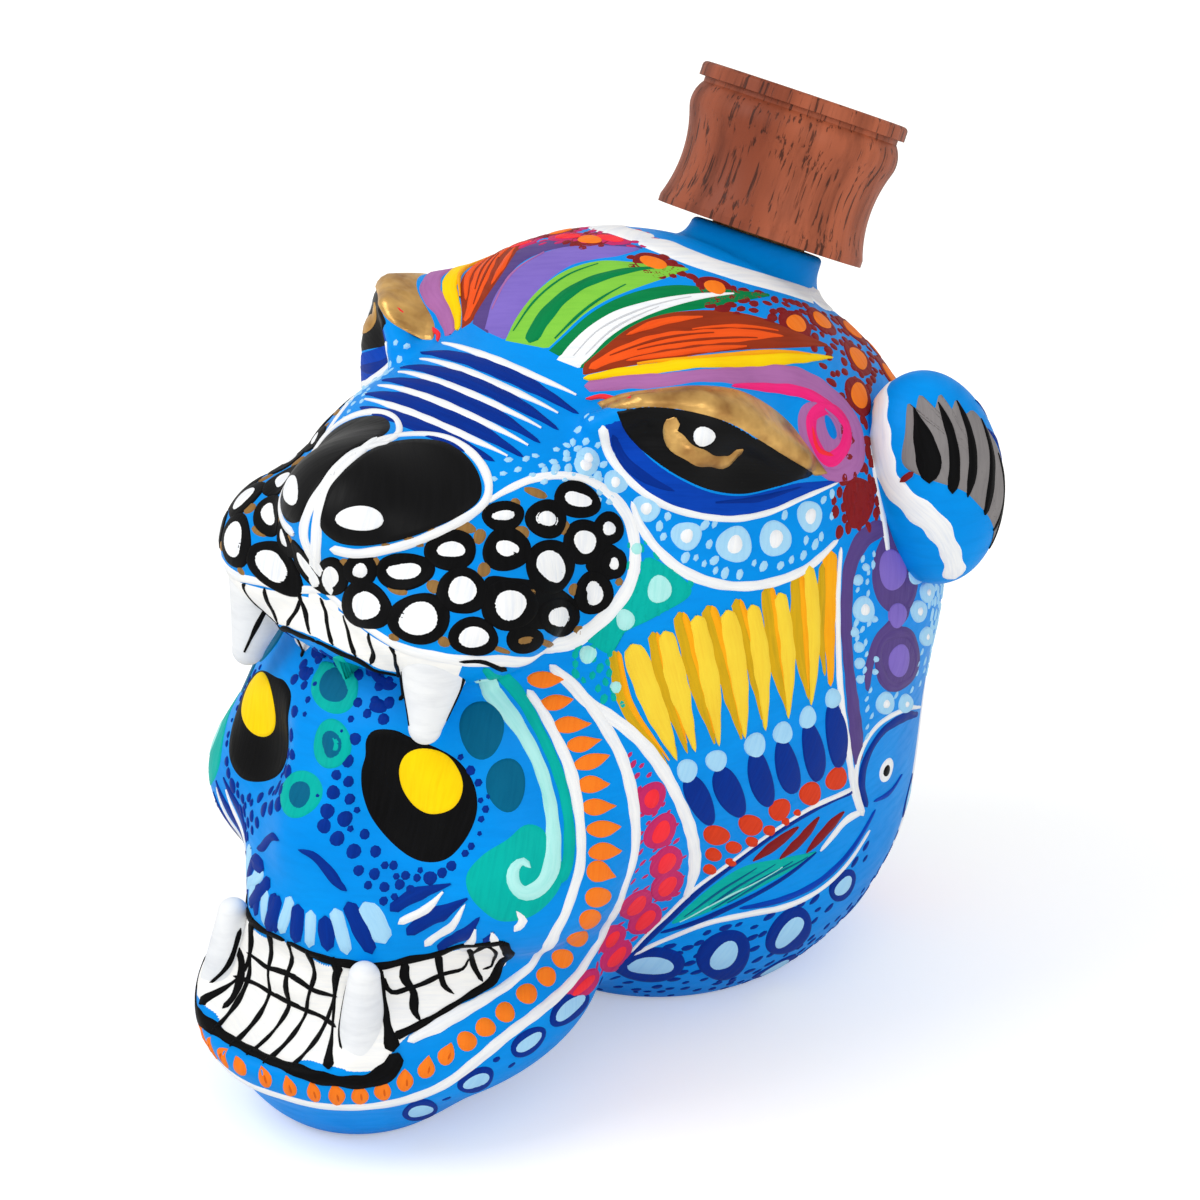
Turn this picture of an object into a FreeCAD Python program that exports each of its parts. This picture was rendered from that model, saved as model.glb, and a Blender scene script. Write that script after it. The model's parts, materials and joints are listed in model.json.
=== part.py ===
"""Painted ceramic bottle in the form of a skull that looks out of a big cat's open mouth, with a
turned wooden stopper on a cork.

Frame: millimetres, +Z up, the face looks along -Y, X = 0 is the mirror plane, and the flat foot
of the bottle lies on Z = 0. Every size is a named cell of the Sizes spreadsheet.
"""

import FreeCAD
import Part
import os

import Sketcher  # noqa: F401  registers Sketcher::SketchObject

doc = FreeCAD.newDocument("SkullBottle")

# ---------------------------------------------------------------- driving dimensions

SIZES = [
    # clay
    ("wall", 5.0),
    ("floor_wall", 5.5),
    ("face_wall", 10.0),
    ("gullet_back", 9.0),
    ("gullet_z", 20.0),
    ("gullet_rx", 26.0),
    ("gullet_ry", 27.0),
    ("gullet_rz", 17.0),
    # cranium under the cat's hood: every other swelling is placed from it
    ("cranium_y", 18.0),
    ("cranium_z", 82.0),
    ("cranium_rx", 56.0),
    ("cranium_ry", 69.0),
    ("cranium_rz", 64.0),
    ("crown_rise", 30.0),
    ("crown_rx", 47.0),
    ("crown_ry", 39.0),
    ("crown_rz", 39.5),
    ("occiput_back", 13.0),
    ("occiput_z", 40.0),
    ("occiput_rx", 47.0),
    ("occiput_ry", 51.0),
    ("occiput_rz", 49.0),
    # skull face, set back from or ahead of the cranium's front
    ("face_back", 23.0),
    ("face_z", 62.0),
    ("face_rx", 43.0),
    ("face_ry", 42.0),
    ("face_rz", 40.0),
    ("cheek_x", 29.0),
    ("cheek_back", 9.0),
    ("cheek_z", 55.0),
    ("cheek_rx", 16.0),
    ("cheek_ry", 18.0),
    ("cheek_rz", 15.0),
    ("maxilla_back", 3.0),
    ("maxilla_z", 44.0),
    ("maxilla_rx", 25.0),
    ("maxilla_ry", 27.0),
    ("maxilla_rz", 24.0),
    ("jaw_back", 7.0),
    ("jaw_z", 21.5),
    ("jaw_rx", 34.5),
    ("jaw_ry", 43.0),
    ("jaw_rz", 20.5),
    ("teeth_z", 31.0),
    ("teeth_rx", 25.0),
    ("teeth_ry", 24.0),
    ("teeth_rz", 13.0),
    ("mouth_ahead", 33.0),
    ("mouth_z", 34.0),
    ("mouth_rx", 28.0),
    ("mouth_ry", 13.0),
    ("mouth_rz", 12.0),
    ("socket_x", 19.0),
    ("socket_ahead", 15.0),
    ("socket_z", 73.0),
    ("socket_rx", 12.0),
    ("socket_ry", 9.0),
    ("socket_rz", 14.0),
    ("chin_ahead", 5.0),
    ("chin_z", 10.0),
    ("chin_rx", 21.0),
    ("chin_ry", 21.0),
    ("chin_rz", 14.0),
    # cat muzzle and brows, raised above the cranium's centre
    ("snout_back", 25.0),
    ("snout_rise", 33.0),
    ("snout_rx", 33.0),
    ("snout_ry", 38.0),
    ("snout_rz", 22.0),
    ("snout_tilt", 20.0),
    ("pad_x", 16.0),
    ("pad_back", 6.0),
    ("pad_rise", 25.0),
    ("pad_rx", 21.0),
    ("pad_ry", 20.0),
    ("pad_rz", 14.5),
    ("nose_back", 1.0),
    ("nose_rise", 39.0),
    ("nose_rx", 17.0),
    ("nose_ry", 16.0),
    ("nose_rz", 13.0),
    ("brow_x", 31.0),
    ("brow_back", 50.0),
    ("brow_rise", 45.0),
    ("brow_rx", 16.0),
    ("brow_ry", 17.0),
    ("brow_rz", 14.0),
    # ears, luted on: their centre stands off the cranium's surface
    ("ear_behind", 31.0),
    ("ear_rise", 27.0),
    ("ear_standoff", 5.5),
    ("ear_rx", 14.0),
    ("ear_ry", 14.0),
    ("ear_rz", 21.0),
    ("ear_tilt", 12.0),
    # fangs, luted on
    ("upper_fang_length", 17.5),
    ("upper_fang_root_radius", 6.2),
    ("upper_fang_tip_radius", 3.0),
    ("upper_fang_x", 22.5),
    ("upper_fang_ahead", 5.0),
    ("upper_fang_drop", 13.0),
    ("upper_fang_lean", 16.0),
    ("lower_fang_length", 24.0),
    ("lower_fang_root_radius", 4.9),
    ("lower_fang_tip_radius", 3.0),
    ("lower_fang_x", 17.5),
    ("lower_fang_ahead", 20.0),
    ("lower_fang_z", 19.0),
    ("lower_fang_lean", 0.0),
    # neck, leaning back from the crown
    ("neck_y", 53.0),
    ("neck_tilt", 27.8),
    ("neck_radius", 13.4),
    ("neck_height", 5.5),
    ("neck_root_depth", 14.0),
    ("neck_flare", 4.5),
    ("lip_round", 1.6),
    ("bore_radius", 9.3),
    # stopper: turned wooden head on a cork shank
    ("seat_gap", 0.3),
    ("cork_clearance", 0.05),
    ("cork_length", 19.0),
    ("cork_tenon", 9.0),
    ("cork_chamfer", 1.2),
    ("head_height", 28.0),
    ("foot_radius", 20.4),
    ("foot_edge", 1.4),
    ("waist_curve", 26.0),
    ("bead_radius", 20.3),
    ("bead_bottom", 18.4),
    ("bead_top", 24.2),
    ("bead_curve", 6.0),
    ("groove_radius", 19.4),
    ("groove_width", 1.0),
    ("disc_radius", 20.6),
    ("disc_round", 0.9),
]

sheet = doc.addObject("Spreadsheet::Sheet", "Sizes")
for row, (alias, value) in enumerate(SIZES, start=1):
    sheet.set(f"A{row}", alias)
    sheet.set(f"B{row}", str(value))
    sheet.setAlias(f"B{row}", alias)
doc.recompute()

# ---------------------------------------------------------------- shared expressions


def cell(alias):
    """The expression that reads one cell."""
    return f"Sizes.{alias}"


FACE_PLANE = "(Sizes.cranium_y - Sizes.cranium_ry)"
EAR_Y = "(Sizes.cranium_y + Sizes.ear_behind)"
EAR_Z = "(Sizes.cranium_z + Sizes.ear_rise)"
EAR_X = (
    "(Sizes.ear_standoff + Sizes.cranium_rx * sqrt(1"
    " - (Sizes.ear_behind / Sizes.cranium_ry)^2 - (Sizes.ear_rise / Sizes.cranium_rz)^2))"
)
NECK_ROOT_Z = (
    "(Sizes.cranium_z + Sizes.cranium_rz"
    " * sqrt(1 - ((Sizes.neck_y - Sizes.cranium_y) / Sizes.cranium_ry)^2))"
)
NECK_LENGTH = "(Sizes.neck_root_depth + Sizes.neck_height)"


def along_neck(distance):
    """(y, z) expressions of a point that lies this far above the neck's root, on its axis."""
    return (
        f"(Sizes.neck_y + ({distance}) * sin(Sizes.neck_tilt * 1 deg))",
        f"({NECK_ROOT_Z} + ({distance}) * cos(Sizes.neck_tilt * 1 deg))",
    )


def place(obj, x="0", y="0", z="0", lean="0"):
    """Binds a placement. lean, in degrees, turns the piece about X and brings its top to +Y."""
    obj.Placement = FreeCAD.Placement(
        FreeCAD.Vector(0, 0, 0), FreeCAD.Rotation(FreeCAD.Vector(-1, 0, 0), 10)
    )
    obj.setExpression("Placement.Base.x", x)
    obj.setExpression("Placement.Base.y", y)
    obj.setExpression("Placement.Base.z", z)
    obj.setExpression("Placement.Rotation.Angle", f"({lean}) * 1 deg")


# ---------------------------------------------------------------- clay swellings


def swelling(name, size, x="0", y="0", z="0", lean="0", less="0"):
    """An ellipsoid with the half-sizes size_rx, size_ry and size_rz, each made smaller by less."""
    lump = doc.addObject("Part::Ellipsoid", name)
    lump.setExpression("Radius2", f"Sizes.{size}_rx - {less}")
    lump.setExpression("Radius3", f"Sizes.{size}_ry - {less}")
    lump.setExpression("Radius1", f"Sizes.{size}_rz - {less}")
    place(lump, x, y, z, lean)
    return lump


# The swellings that the cavity follows: name, y, z, lean, wall
HOLLOW_SWELLINGS = [
    ("cranium", cell("cranium_y"), cell("cranium_z"), "0", "wall"),
    ("crown", cell("cranium_y"), "Sizes.cranium_z + Sizes.crown_rise", "0", "wall"),
    ("occiput", "Sizes.cranium_y + Sizes.occiput_back", cell("occiput_z"), "0", "wall"),
    ("face", f"{FACE_PLANE} + Sizes.face_back", cell("face_z"), "0", "face_wall"),
    (
        "snout",
        f"{FACE_PLANE} + Sizes.snout_back",
        "Sizes.cranium_z + Sizes.snout_rise",
        "-Sizes.snout_tilt",
        "wall",
    ),
]
# Thick clay on the midline: name, y, z
SOLID_SWELLINGS = [
    ("jaw", f"{FACE_PLANE} + Sizes.jaw_back", cell("jaw_z")),
    ("maxilla", f"{FACE_PLANE} + Sizes.maxilla_back", cell("maxilla_z")),
    ("chin", f"{FACE_PLANE} - Sizes.chin_ahead", cell("chin_z")),
    ("nose", f"{FACE_PLANE} + Sizes.nose_back", "Sizes.cranium_z + Sizes.nose_rise"),
]
# Thick clay on both sides: name, y, z
PAIRED_SWELLINGS = [
    ("cheek", f"{FACE_PLANE} + Sizes.cheek_back", cell("cheek_z")),
    ("pad", f"{FACE_PLANE} + Sizes.pad_back", "Sizes.cranium_z + Sizes.pad_rise"),
    ("brow", f"{FACE_PLANE} + Sizes.brow_back", "Sizes.cranium_z + Sizes.brow_rise"),
]
SIDES = (("left", ""), ("right", "-"))


def fuse(name, shapes):
    fused = doc.addObject("Part::MultiFuse", name)
    fused.Shapes = shapes
    return fused


def cut(name, base, tool):
    made = doc.addObject("Part::Cut", name)
    made.Base = base
    made.Tool = tool
    return made


def make_outside():
    """The head's outer form, without its neck: every swelling, less the mouth and eye sockets."""
    lumps = [swelling(n, n, y=y, z=z, lean=t) for n, y, z, t, _ in HOLLOW_SWELLINGS]
    lumps += [swelling(n, n, y=y, z=z) for n, y, z in SOLID_SWELLINGS]
    for name, y, z in PAIRED_SWELLINGS:
        for side, sign in SIDES:
            lumps.append(swelling(f"{name}_{side}", name, f"{sign}Sizes.{name}_x", y, z))
    hollows = [swelling("mouth", "mouth", y=f"{FACE_PLANE} - Sizes.mouth_ahead", z=cell("mouth_z"))]
    socket_y = f"{FACE_PLANE} - Sizes.socket_ahead"
    for side, sign in SIDES:
        socket_x = f"{sign}Sizes.socket_x"
        hollows.append(
            swelling(f"socket_{side}", "socket", socket_x, socket_y, cell("socket_z"))
        )
    carved = cut("carved", fuse("outside_lumps", lumps), fuse("face_hollows", hollows))
    teeth = swelling("teeth", "teeth", y=FACE_PLANE, z=cell("teeth_z"))
    return fuse("toothed", [carved, teeth])


def make_block(name, z):
    """A block wider than the bottle, whose top is at Z = z."""
    block = doc.addObject("Part::Box", name)
    block.setExpression("Length", "6 * Sizes.cranium_rx")
    block.setExpression("Width", "6 * Sizes.cranium_ry")
    block.setExpression("Height", "2 * Sizes.cranium_rz")
    place(block, "-3 * Sizes.cranium_rx", "-3 * Sizes.cranium_ry", f"{z} - 2 * Sizes.cranium_rz")
    return block


# ---------------------------------------------------------------- turned pieces


def origin_plane(body, role):
    return next(f for f in body.Origin.OriginFeatures if f.Role == role)


def turned(name, corners):
    """A PartDesign body turned about its own Z axis.

    corners goes round the profile: (radius, height, curve). radius and height are expressions,
    and curve is the expression of the radius of the arc to the next corner, or None for a
    straight line. A curve that starts with "hollow " bends into the wood or clay.
    """
    body = doc.addObject("PartDesign::Body", name)
    sketch = body.newObject("Sketcher::SketchObject", f"{name}_profile")
    sketch.AttachmentSupport = [(origin_plane(body, "XZ_Plane"), "")]
    sketch.MapMode = "FlatFace"
    doc.recompute()
    spots = [
        FreeCAD.Vector(float(sheet.evalExpression(r)), float(sheet.evalExpression(h)), 0)
        for r, h, _ in corners
    ]
    ends = []
    for i, (_, _, curve) in enumerate(corners):
        start, end = spots[i], spots[(i + 1) % len(spots)]
        if curve is None:
            index = sketch.addGeometry(Part.LineSegment(start, end), False)
            ends.append((index, 1, 2))
            continue
        hollow = curve.startswith("hollow ")
        radius = float(sheet.evalExpression(curve.removeprefix("hollow ")))
        index, first, last = add_arc(sketch, start, end, radius, hollow)
        ends.append((index, first, last))
        bind(sketch, Sketcher.Constraint("Radius", index, radius), curve.removeprefix("hollow "))
    for i, (index, _, last) in enumerate(ends):
        after, first, _ = ends[(i + 1) % len(ends)]
        sketch.addConstraint(Sketcher.Constraint("Coincident", index, last, after, first))
    for (index, first, _), spot, (r, h, _) in zip(ends, spots, corners):
        bind(sketch, Sketcher.Constraint("DistanceX", -1, 1, index, first, spot.x), r)
        bind(sketch, Sketcher.Constraint("DistanceY", -1, 1, index, first, spot.y), h)
    doc.recompute()
    spin = body.newObject("PartDesign::Revolution", f"{name}_turned")
    spin.Profile = sketch
    spin.ReferenceAxis = (sketch, ["V_Axis"])
    spin.Angle = 360
    doc.recompute()
    return body


def add_arc(sketch, start, end, radius, hollow):
    """Adds the short arc between two corners. Returns its index and the ids of its two ends."""
    chord = end - start
    half = chord.Length / 2
    side = FreeCAD.Vector(chord.y, -chord.x, 0).normalize()
    bulge = radius - (radius**2 - half**2) ** 0.5
    middle = (start + end) / 2 + side * (-bulge if hollow else bulge)
    arc = Part.Arc(start, middle, end)
    index = sketch.addGeometry(arc, False)
    starts_here = sketch.getPoint(index, 1).distanceToPoint(start) < sketch.getPoint(
        index, 2
    ).distanceToPoint(start)
    return (index, 1, 2) if starts_here else (index, 2, 1)


def bind(sketch, constraint, expression):
    index = sketch.addConstraint(constraint)
    sketch.setExpression(f"Constraints[{index}]", expression)


def make_neck():
    """Neck with a rounded lip and a flared root, turned about its own axis from its root."""
    flare = "Sizes.neck_radius + Sizes.neck_flare"
    neck = turned(
        "neck",
        [
            ("0", "-Sizes.neck_root_depth", None),
            (flare, "-Sizes.neck_root_depth", None),
            (flare, "-Sizes.neck_flare / 2", "hollow Sizes.neck_flare * 1.2"),
            (cell("neck_radius"), "Sizes.neck_flare / 2", None),
            (cell("neck_radius"), "Sizes.neck_height - Sizes.lip_round", cell("lip_round")),
            ("Sizes.neck_radius - Sizes.lip_round", cell("neck_height"), None),
            ("0", cell("neck_height"), None),
        ],
    )
    y, z = along_neck("0")
    place(neck, y=y, z=z, lean=cell("neck_tilt"))
    return neck


def make_bore():
    bore = doc.addObject("Part::Cylinder", "bore")
    bore.setExpression("Radius", cell("bore_radius"))
    bore.setExpression("Height", f"{NECK_LENGTH} + 2 * Sizes.wall")
    y, z = along_neck("-Sizes.neck_root_depth")
    place(bore, y=y, z=z, lean=cell("neck_tilt"))
    return bore


def make_cavity():
    """The hollow: the larger swellings less the wall, above the floor's thickness."""
    lumps = [
        swelling(f"{n}_inside", n, y=y, z=z, lean=t, less=cell(wall))
        for n, y, z, t, wall in HOLLOW_SWELLINGS
    ]
    lumps.append(
        swelling("gullet", "gullet", y=f"{FACE_PLANE} + Sizes.gullet_back", z=cell("gullet_z"))
    )
    return cut("cavity", fuse("inside_lumps", lumps), make_block("floor_block", cell("floor_wall")))


def make_head():
    """Returns (the closed outer form with neck, the finished hollow bottle)."""
    trimmed = cut("outside", make_outside(), make_block("ground", "0"))
    necked = fuse("necked", [trimmed, make_neck()])
    hollowed = cut("hollowed", necked, make_cavity())
    bottle = cut("bottle_body", hollowed, make_bore())
    bottle.Label = "bottle_body"
    return necked, bottle


def make_ear(side, sign, outside):
    lump = swelling(f"ear_lump_{side}", "ear", sign + EAR_X, EAR_Y, EAR_Z, cell("ear_tilt"))
    ear = cut(f"ear_{side}", lump, outside)
    ear.Label = f"ear_{side}"
    return ear


def make_fang(row, side, sign, y, z, lean, outside):
    """A tapered tooth, round at both ends, from its root at its own origin towards its own +Z."""
    root = f"Sizes.{row}_fang_root_radius"
    tip = f"Sizes.{row}_fang_tip_radius"
    length = f"Sizes.{row}_fang_length"
    tooth = turned(
        f"{row}_tooth_{side}",
        [
            ("0", f"-{root}", root),
            (root, "0", None),
            (tip, f"{length} - {tip}", tip),
            ("0", length, None),
        ],
    )
    place(tooth, f"{sign}Sizes.{row}_fang_x", y, z, lean)
    fang = cut(f"{row}_fang_{side}", tooth, outside)
    fang.Label = f"{row}_fang_{side}"
    return fang


def make_stopper():
    """The turned head and its cork, seated on the neck's lip. Both start at the head's underside."""
    cork_radius = "Sizes.bore_radius - Sizes.cork_clearance"
    head = turned(
        "stopper_head",
        [
            (cork_radius, "0", None),
            (cell("foot_radius"), "0", None),
            (cell("foot_radius"), cell("foot_edge"), f"hollow {cell('waist_curve')}"),
            (cell("bead_radius"), cell("bead_bottom"), cell("bead_curve")),
            (cell("groove_radius"), cell("bead_top"), None),
            (cell("groove_radius"), "Sizes.bead_top + Sizes.groove_width", None),
            (cell("disc_radius"), "Sizes.bead_top + Sizes.groove_width", None),
            (cell("disc_radius"), "Sizes.head_height - Sizes.disc_round", cell("disc_round")),
            ("Sizes.disc_radius - Sizes.disc_round", cell("head_height"), None),
            ("0", cell("head_height"), None),
            ("0", cell("cork_tenon"), None),
            (cork_radius, cell("cork_tenon"), None),
        ],
    )
    cork = turned(
        "stopper_cork",
        [
            ("0", "-Sizes.cork_length", None),
            (f"{cork_radius} - Sizes.cork_chamfer", "-Sizes.cork_length", None),
            (cork_radius, "Sizes.cork_chamfer - Sizes.cork_length", None),
            (cork_radius, cell("cork_tenon"), None),
            ("0", cell("cork_tenon"), None),
        ],
    )
    y, z = along_neck("Sizes.neck_height + Sizes.seat_gap")
    for piece in (head, cork):
        place(piece, y=y, z=z, lean=cell("neck_tilt"))
        piece.Label = piece.Name
    return [head, cork]


def main():
    outside, bottle = make_head()
    pieces = [bottle]
    upper_y = f"{FACE_PLANE} - Sizes.upper_fang_ahead"
    upper_z = "Sizes.cranium_z + Sizes.snout_rise - Sizes.upper_fang_drop"
    lower_y = f"{FACE_PLANE} - Sizes.lower_fang_ahead"
    for side, sign in SIDES:
        pieces.append(make_ear(side, sign, outside))
        pieces.append(
            make_fang("upper", side, sign, upper_y, upper_z, "180 + Sizes.upper_fang_lean", outside)
        )
        pieces.append(
            make_fang(
                "lower", side, sign, lower_y, cell("lower_fang_z"), cell("lower_fang_lean"), outside
            )
        )
    pieces += make_stopper()
    doc.recompute()
    check_document(pieces)
    os.makedirs("parts", exist_ok=True)
    for piece in pieces:
        piece.Shape.exportStep(f"parts/{piece.Label}.step")
        print(piece.Label, len(piece.Shape.Solids), "solid,", round(piece.Shape.Volume / 1000, 2), "ml")


def check_document(pieces):
    """Stops if a feature failed, or if a piece is empty, open or in more than one solid."""
    for obj in doc.Objects:
        if {"Invalid", "Error"} & set(obj.State):
            raise SystemExit(f"{obj.Name} failed: {obj.State}")
    for piece in pieces:
        shape = piece.Shape
        if shape.isNull() or not shape.isValid() or len(shape.Solids) != 1:
            raise SystemExit(f"{piece.Label} isn't one valid solid: {len(shape.Solids)}")


main()
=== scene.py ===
"""Looks of a hand-painted ceramic bottle: a skull in a big cat's open mouth, with a wooden stopper.

The clay is one smooth surface, meshed from blended swellings. Each brush stroke is a thin raised
mesh laid on that surface, so that its edges are crisp and its paint has a body, as acrylic has.
Lengths are in millimetres until a mesh is made, in the frame of the CAD model: +Z up, the face
looks along -Y, and X = 0 is the mirror plane.
"""

import json
import math

import bpy
import numpy as np
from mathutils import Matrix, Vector
from mathutils.bvhtree import BVHTree

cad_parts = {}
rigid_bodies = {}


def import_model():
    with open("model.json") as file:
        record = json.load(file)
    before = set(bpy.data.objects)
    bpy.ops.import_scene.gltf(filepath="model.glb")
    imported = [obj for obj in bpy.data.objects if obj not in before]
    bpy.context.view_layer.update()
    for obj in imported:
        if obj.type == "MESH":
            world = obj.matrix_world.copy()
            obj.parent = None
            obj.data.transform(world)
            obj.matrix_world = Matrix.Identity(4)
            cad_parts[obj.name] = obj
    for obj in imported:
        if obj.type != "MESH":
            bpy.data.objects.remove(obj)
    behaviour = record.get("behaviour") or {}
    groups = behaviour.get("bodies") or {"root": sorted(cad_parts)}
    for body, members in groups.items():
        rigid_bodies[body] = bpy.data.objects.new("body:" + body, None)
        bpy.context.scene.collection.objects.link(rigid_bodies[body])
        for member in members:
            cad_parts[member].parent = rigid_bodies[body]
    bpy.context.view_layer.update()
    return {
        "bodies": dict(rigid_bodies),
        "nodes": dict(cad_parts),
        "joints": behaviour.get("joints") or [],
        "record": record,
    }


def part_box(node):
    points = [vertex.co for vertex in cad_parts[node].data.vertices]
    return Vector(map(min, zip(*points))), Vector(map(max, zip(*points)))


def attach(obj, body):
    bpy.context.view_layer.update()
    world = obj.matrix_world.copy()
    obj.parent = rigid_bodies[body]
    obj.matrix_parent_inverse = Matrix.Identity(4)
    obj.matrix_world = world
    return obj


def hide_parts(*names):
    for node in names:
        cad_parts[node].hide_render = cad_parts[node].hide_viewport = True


MM = 0.001
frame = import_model()

# ---------------------------------------------------------------- clay form

# Every swelling: centre, half-sizes, tilt about X in degrees, and how wide it blends
HEAD = [
    ((0, 18, 82), (56, 69, 64), 0, 0),  # cranium
    ((0, 18, 112), (47, 39, 39.5), 0, 8),  # crown
    ((0, -28, 62), (43, 42, 40), 0, 10),  # face
    ((29, -42, 55), (16, 18, 15), 0, 8),  # cheek
    ((0, -48, 44), (25, 27, 24), 0, 6),  # upper jaw
    ((0, -44, 21.5), (34.5, 43, 20.5), 0, 8),  # lower jaw
    ((0, -56, 10), (21, 21, 14), 0, 6),  # chin
    ((0, 31, 40), (47, 51, 49), 0, 12),  # back of the head
]
MUZZLE = [
    ((0, -26, 115), (33, 38, 22), 20, 0),  # snout
    ((16, -45, 107), (21, 20, 14.5), 0, 4),  # whisker pad
    ((0, -50, 121), (17, 16, 13), 0, 6),  # nose
]
BROW = ((32, 0, 127), (15, 15, 14), 0, 7)
NECK_ROOT = np.array([0, 53.0, 137.2])
NECK_AXIS = np.array(frame["joints"][0]["axis"], float)
NECK_RADIUS = 13.4
NECK_HEIGHT = 5.5
NECK_BURIED = 12  # how deep in the head the neck starts
ABOVE_LIP = 30  # the bore is cut up to here
BORE_RADIUS = 9.3
BORE_DEPTH = 24
LIP_ROUND = 1.4
EAR_CENTRE = np.array([49.2, 49, 109])
EAR_SIZES = (14, 14, 21)
EAR_TILT = 12
EAR_SPLAY = 0.16  # how far the ear's lower end stands out, per mm of drop
SKIN = 0.35  # the clay lies this far inside the CAD form, which leaves room for the paint

# The photo's view: how far it is turned to one side, and how far it looks down
TURN, RISE = math.radians(43), math.radians(27)
# The right and up directions of a chart seen that way
OBLIQUE = (
    (math.cos(TURN), math.sin(TURN), 0),
    (-math.sin(TURN) * math.sin(RISE), math.cos(TURN) * math.sin(RISE), math.cos(RISE)),
)

CELL = 0.8  # mesh size
BLOCK = 8  # cells along the side of a block of the grid
SLOPE_REACH = 0.15  # how far apart two samples of a slope are
ROUNDS = 4  # how often the mesh is evened out
EVENING = 0.6  # how far a point moves toward the middle of its neighbours each time
REACH = 300  # further off than any part of the surface


def ellipsoid(p, centre, sizes, tilt=0):
    """Nearly the distance of each point from an ellipsoid, negative inside."""
    q = p - np.array(centre, float)
    if tilt:
        a = math.radians(tilt)
        turned = q.copy()
        turned[:, 1] = math.cos(a) * q[:, 1] + math.sin(a) * q[:, 2]
        turned[:, 2] = math.cos(a) * q[:, 2] - math.sin(a) * q[:, 1]
        q = turned
    r = np.array(sizes, float)
    near = np.linalg.norm(q / r, axis=1)
    slope = np.linalg.norm(q / r**2, axis=1)
    return near * (near - 1) / np.maximum(slope, 1e-6)


def join(a, b, blend):
    """The smaller of two distances, with a fillet about blend wide where they cross."""
    if blend == 0:
        return np.minimum(a, b)
    share = np.clip(0.5 + 0.5 * (b - a) / blend, 0, 1)
    return b * (1 - share) + a * share - blend * share * (1 - share)


def carve(a, b, blend):
    """a with b cut out of it."""
    return -join(-a, b, blend)


def rod(p, start, end, radius, end_radius=None):
    """Distance from a round-ended rod that may taper."""
    start, end = np.array(start, float), np.array(end, float)
    along = np.clip(((p - start) @ (end - start)) / ((end - start) @ (end - start)), 0, 1)
    end_radius = radius if end_radius is None else end_radius
    middle = start + along[:, None] * (end - start)
    return np.linalg.norm(p - middle, axis=1) - (radius + (end_radius - radius) * along)


def around_neck(p):
    """(height above the neck's root along its axis, distance from the axis)."""
    q = p - NECK_ROOT
    height = q @ NECK_AXIS
    return height, np.linalg.norm(q - height[:, None] * NECK_AXIS, axis=1)


def disc(height, radius, low, high, size, edge):
    """Distance from an upright cylinder with rounded edges, given heights and radii."""
    out = np.stack([radius - (size - edge), abs(height - (low + high) / 2) - (high - low) / 2 + edge])
    return np.linalg.norm(np.maximum(out, 0), axis=0) + np.minimum(out.max(axis=0), 0) - edge


def chain(p, points, radius):
    """Distance from rods joined end to end."""
    nearest = rod(p, points[0], points[1], radius)
    for a, b in zip(points[1:], points[2:]):
        nearest = np.minimum(nearest, rod(p, a, b, radius))
    return nearest


def swell(p, parts):
    """Swellings blended one after the other."""
    form = ellipsoid(p, *parts[0][:3])
    for centre, sizes, tilt, blend in parts[1:]:
        form = join(form, ellipsoid(p, centre, sizes, tilt), blend)
    return form


def clay(points):
    """The bottle's outer surface is where this is 0."""
    p = points.copy()
    p[:, 0] = abs(p[:, 0])
    form = join(swell(p, HEAD), swell(p, MUZZLE), 4)
    form = join(form, ellipsoid(p, *BROW[:3]), BROW[3])
    form = shape_face(p, form)
    form = shape_eye(p, form)
    height, radius = around_neck(p)
    form = join(form, disc(height, radius, -NECK_BURIED, NECK_HEIGHT, NECK_RADIUS, LIP_ROUND), 5)
    form = carve(form + SKIN, disc(height, radius, -BORE_DEPTH, ABOVE_LIP, BORE_RADIUS, 0.5), 0.8)
    return carve(form, p[:, 2], 1.5)


def shape_face(p, form):
    """Eye sockets, the hollow at the nose, the open mouth with its teeth, and the gums above."""
    form = carve(form, ellipsoid(p, (21, -69, 75), (14, 9.5, 14)), 4)
    form = carve(form, ellipsoid(p, (0, -75, 79), (8, 9, 11)), 4)
    form = join(form, ellipsoid(p, (0, -64, 59), (7, 9, 8)), 6)
    form = carve(form, ellipsoid(p, (0, -86, 34), (30, 14, 12)), 2.5)
    form = join(form, ellipsoid(p, (0, -50, 31), (26, 24.5, 12)), 1.5)
    gum = [(0, -60.5, 100), (11, -58.5, 99.6), (20, -53, 99)]
    return join(form, chain(p, gum, 4.6), 1.5)


def shape_eye(p, form):
    """A shallow hollow for the eye, and the heavy upper lid over it."""
    form = carve(form, ellipsoid(p, (50, -5, 127.5), (7, 15, 8)), 5)
    upper = [(25, -17, 134.5), (32, -12.5, 139), (39, -5, 138.5), (44, 3, 132.5), (47, 13, 124)]
    return join(form, chain(p, upper, 2.4), 5)


def ear_clay(points):
    """One ear: a smooth lobe whose lower end stands further out."""
    outward = np.array([math.cos(TURN), math.sin(TURN), 0])
    leaned = points + EAR_SPLAY * (points[..., 2:] - EAR_CENTRE[2]) * outward
    return ellipsoid(leaned, EAR_CENTRE, EAR_SIZES, -EAR_TILT) + SKIN


# ---------------------------------------------------------------- meshing


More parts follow.
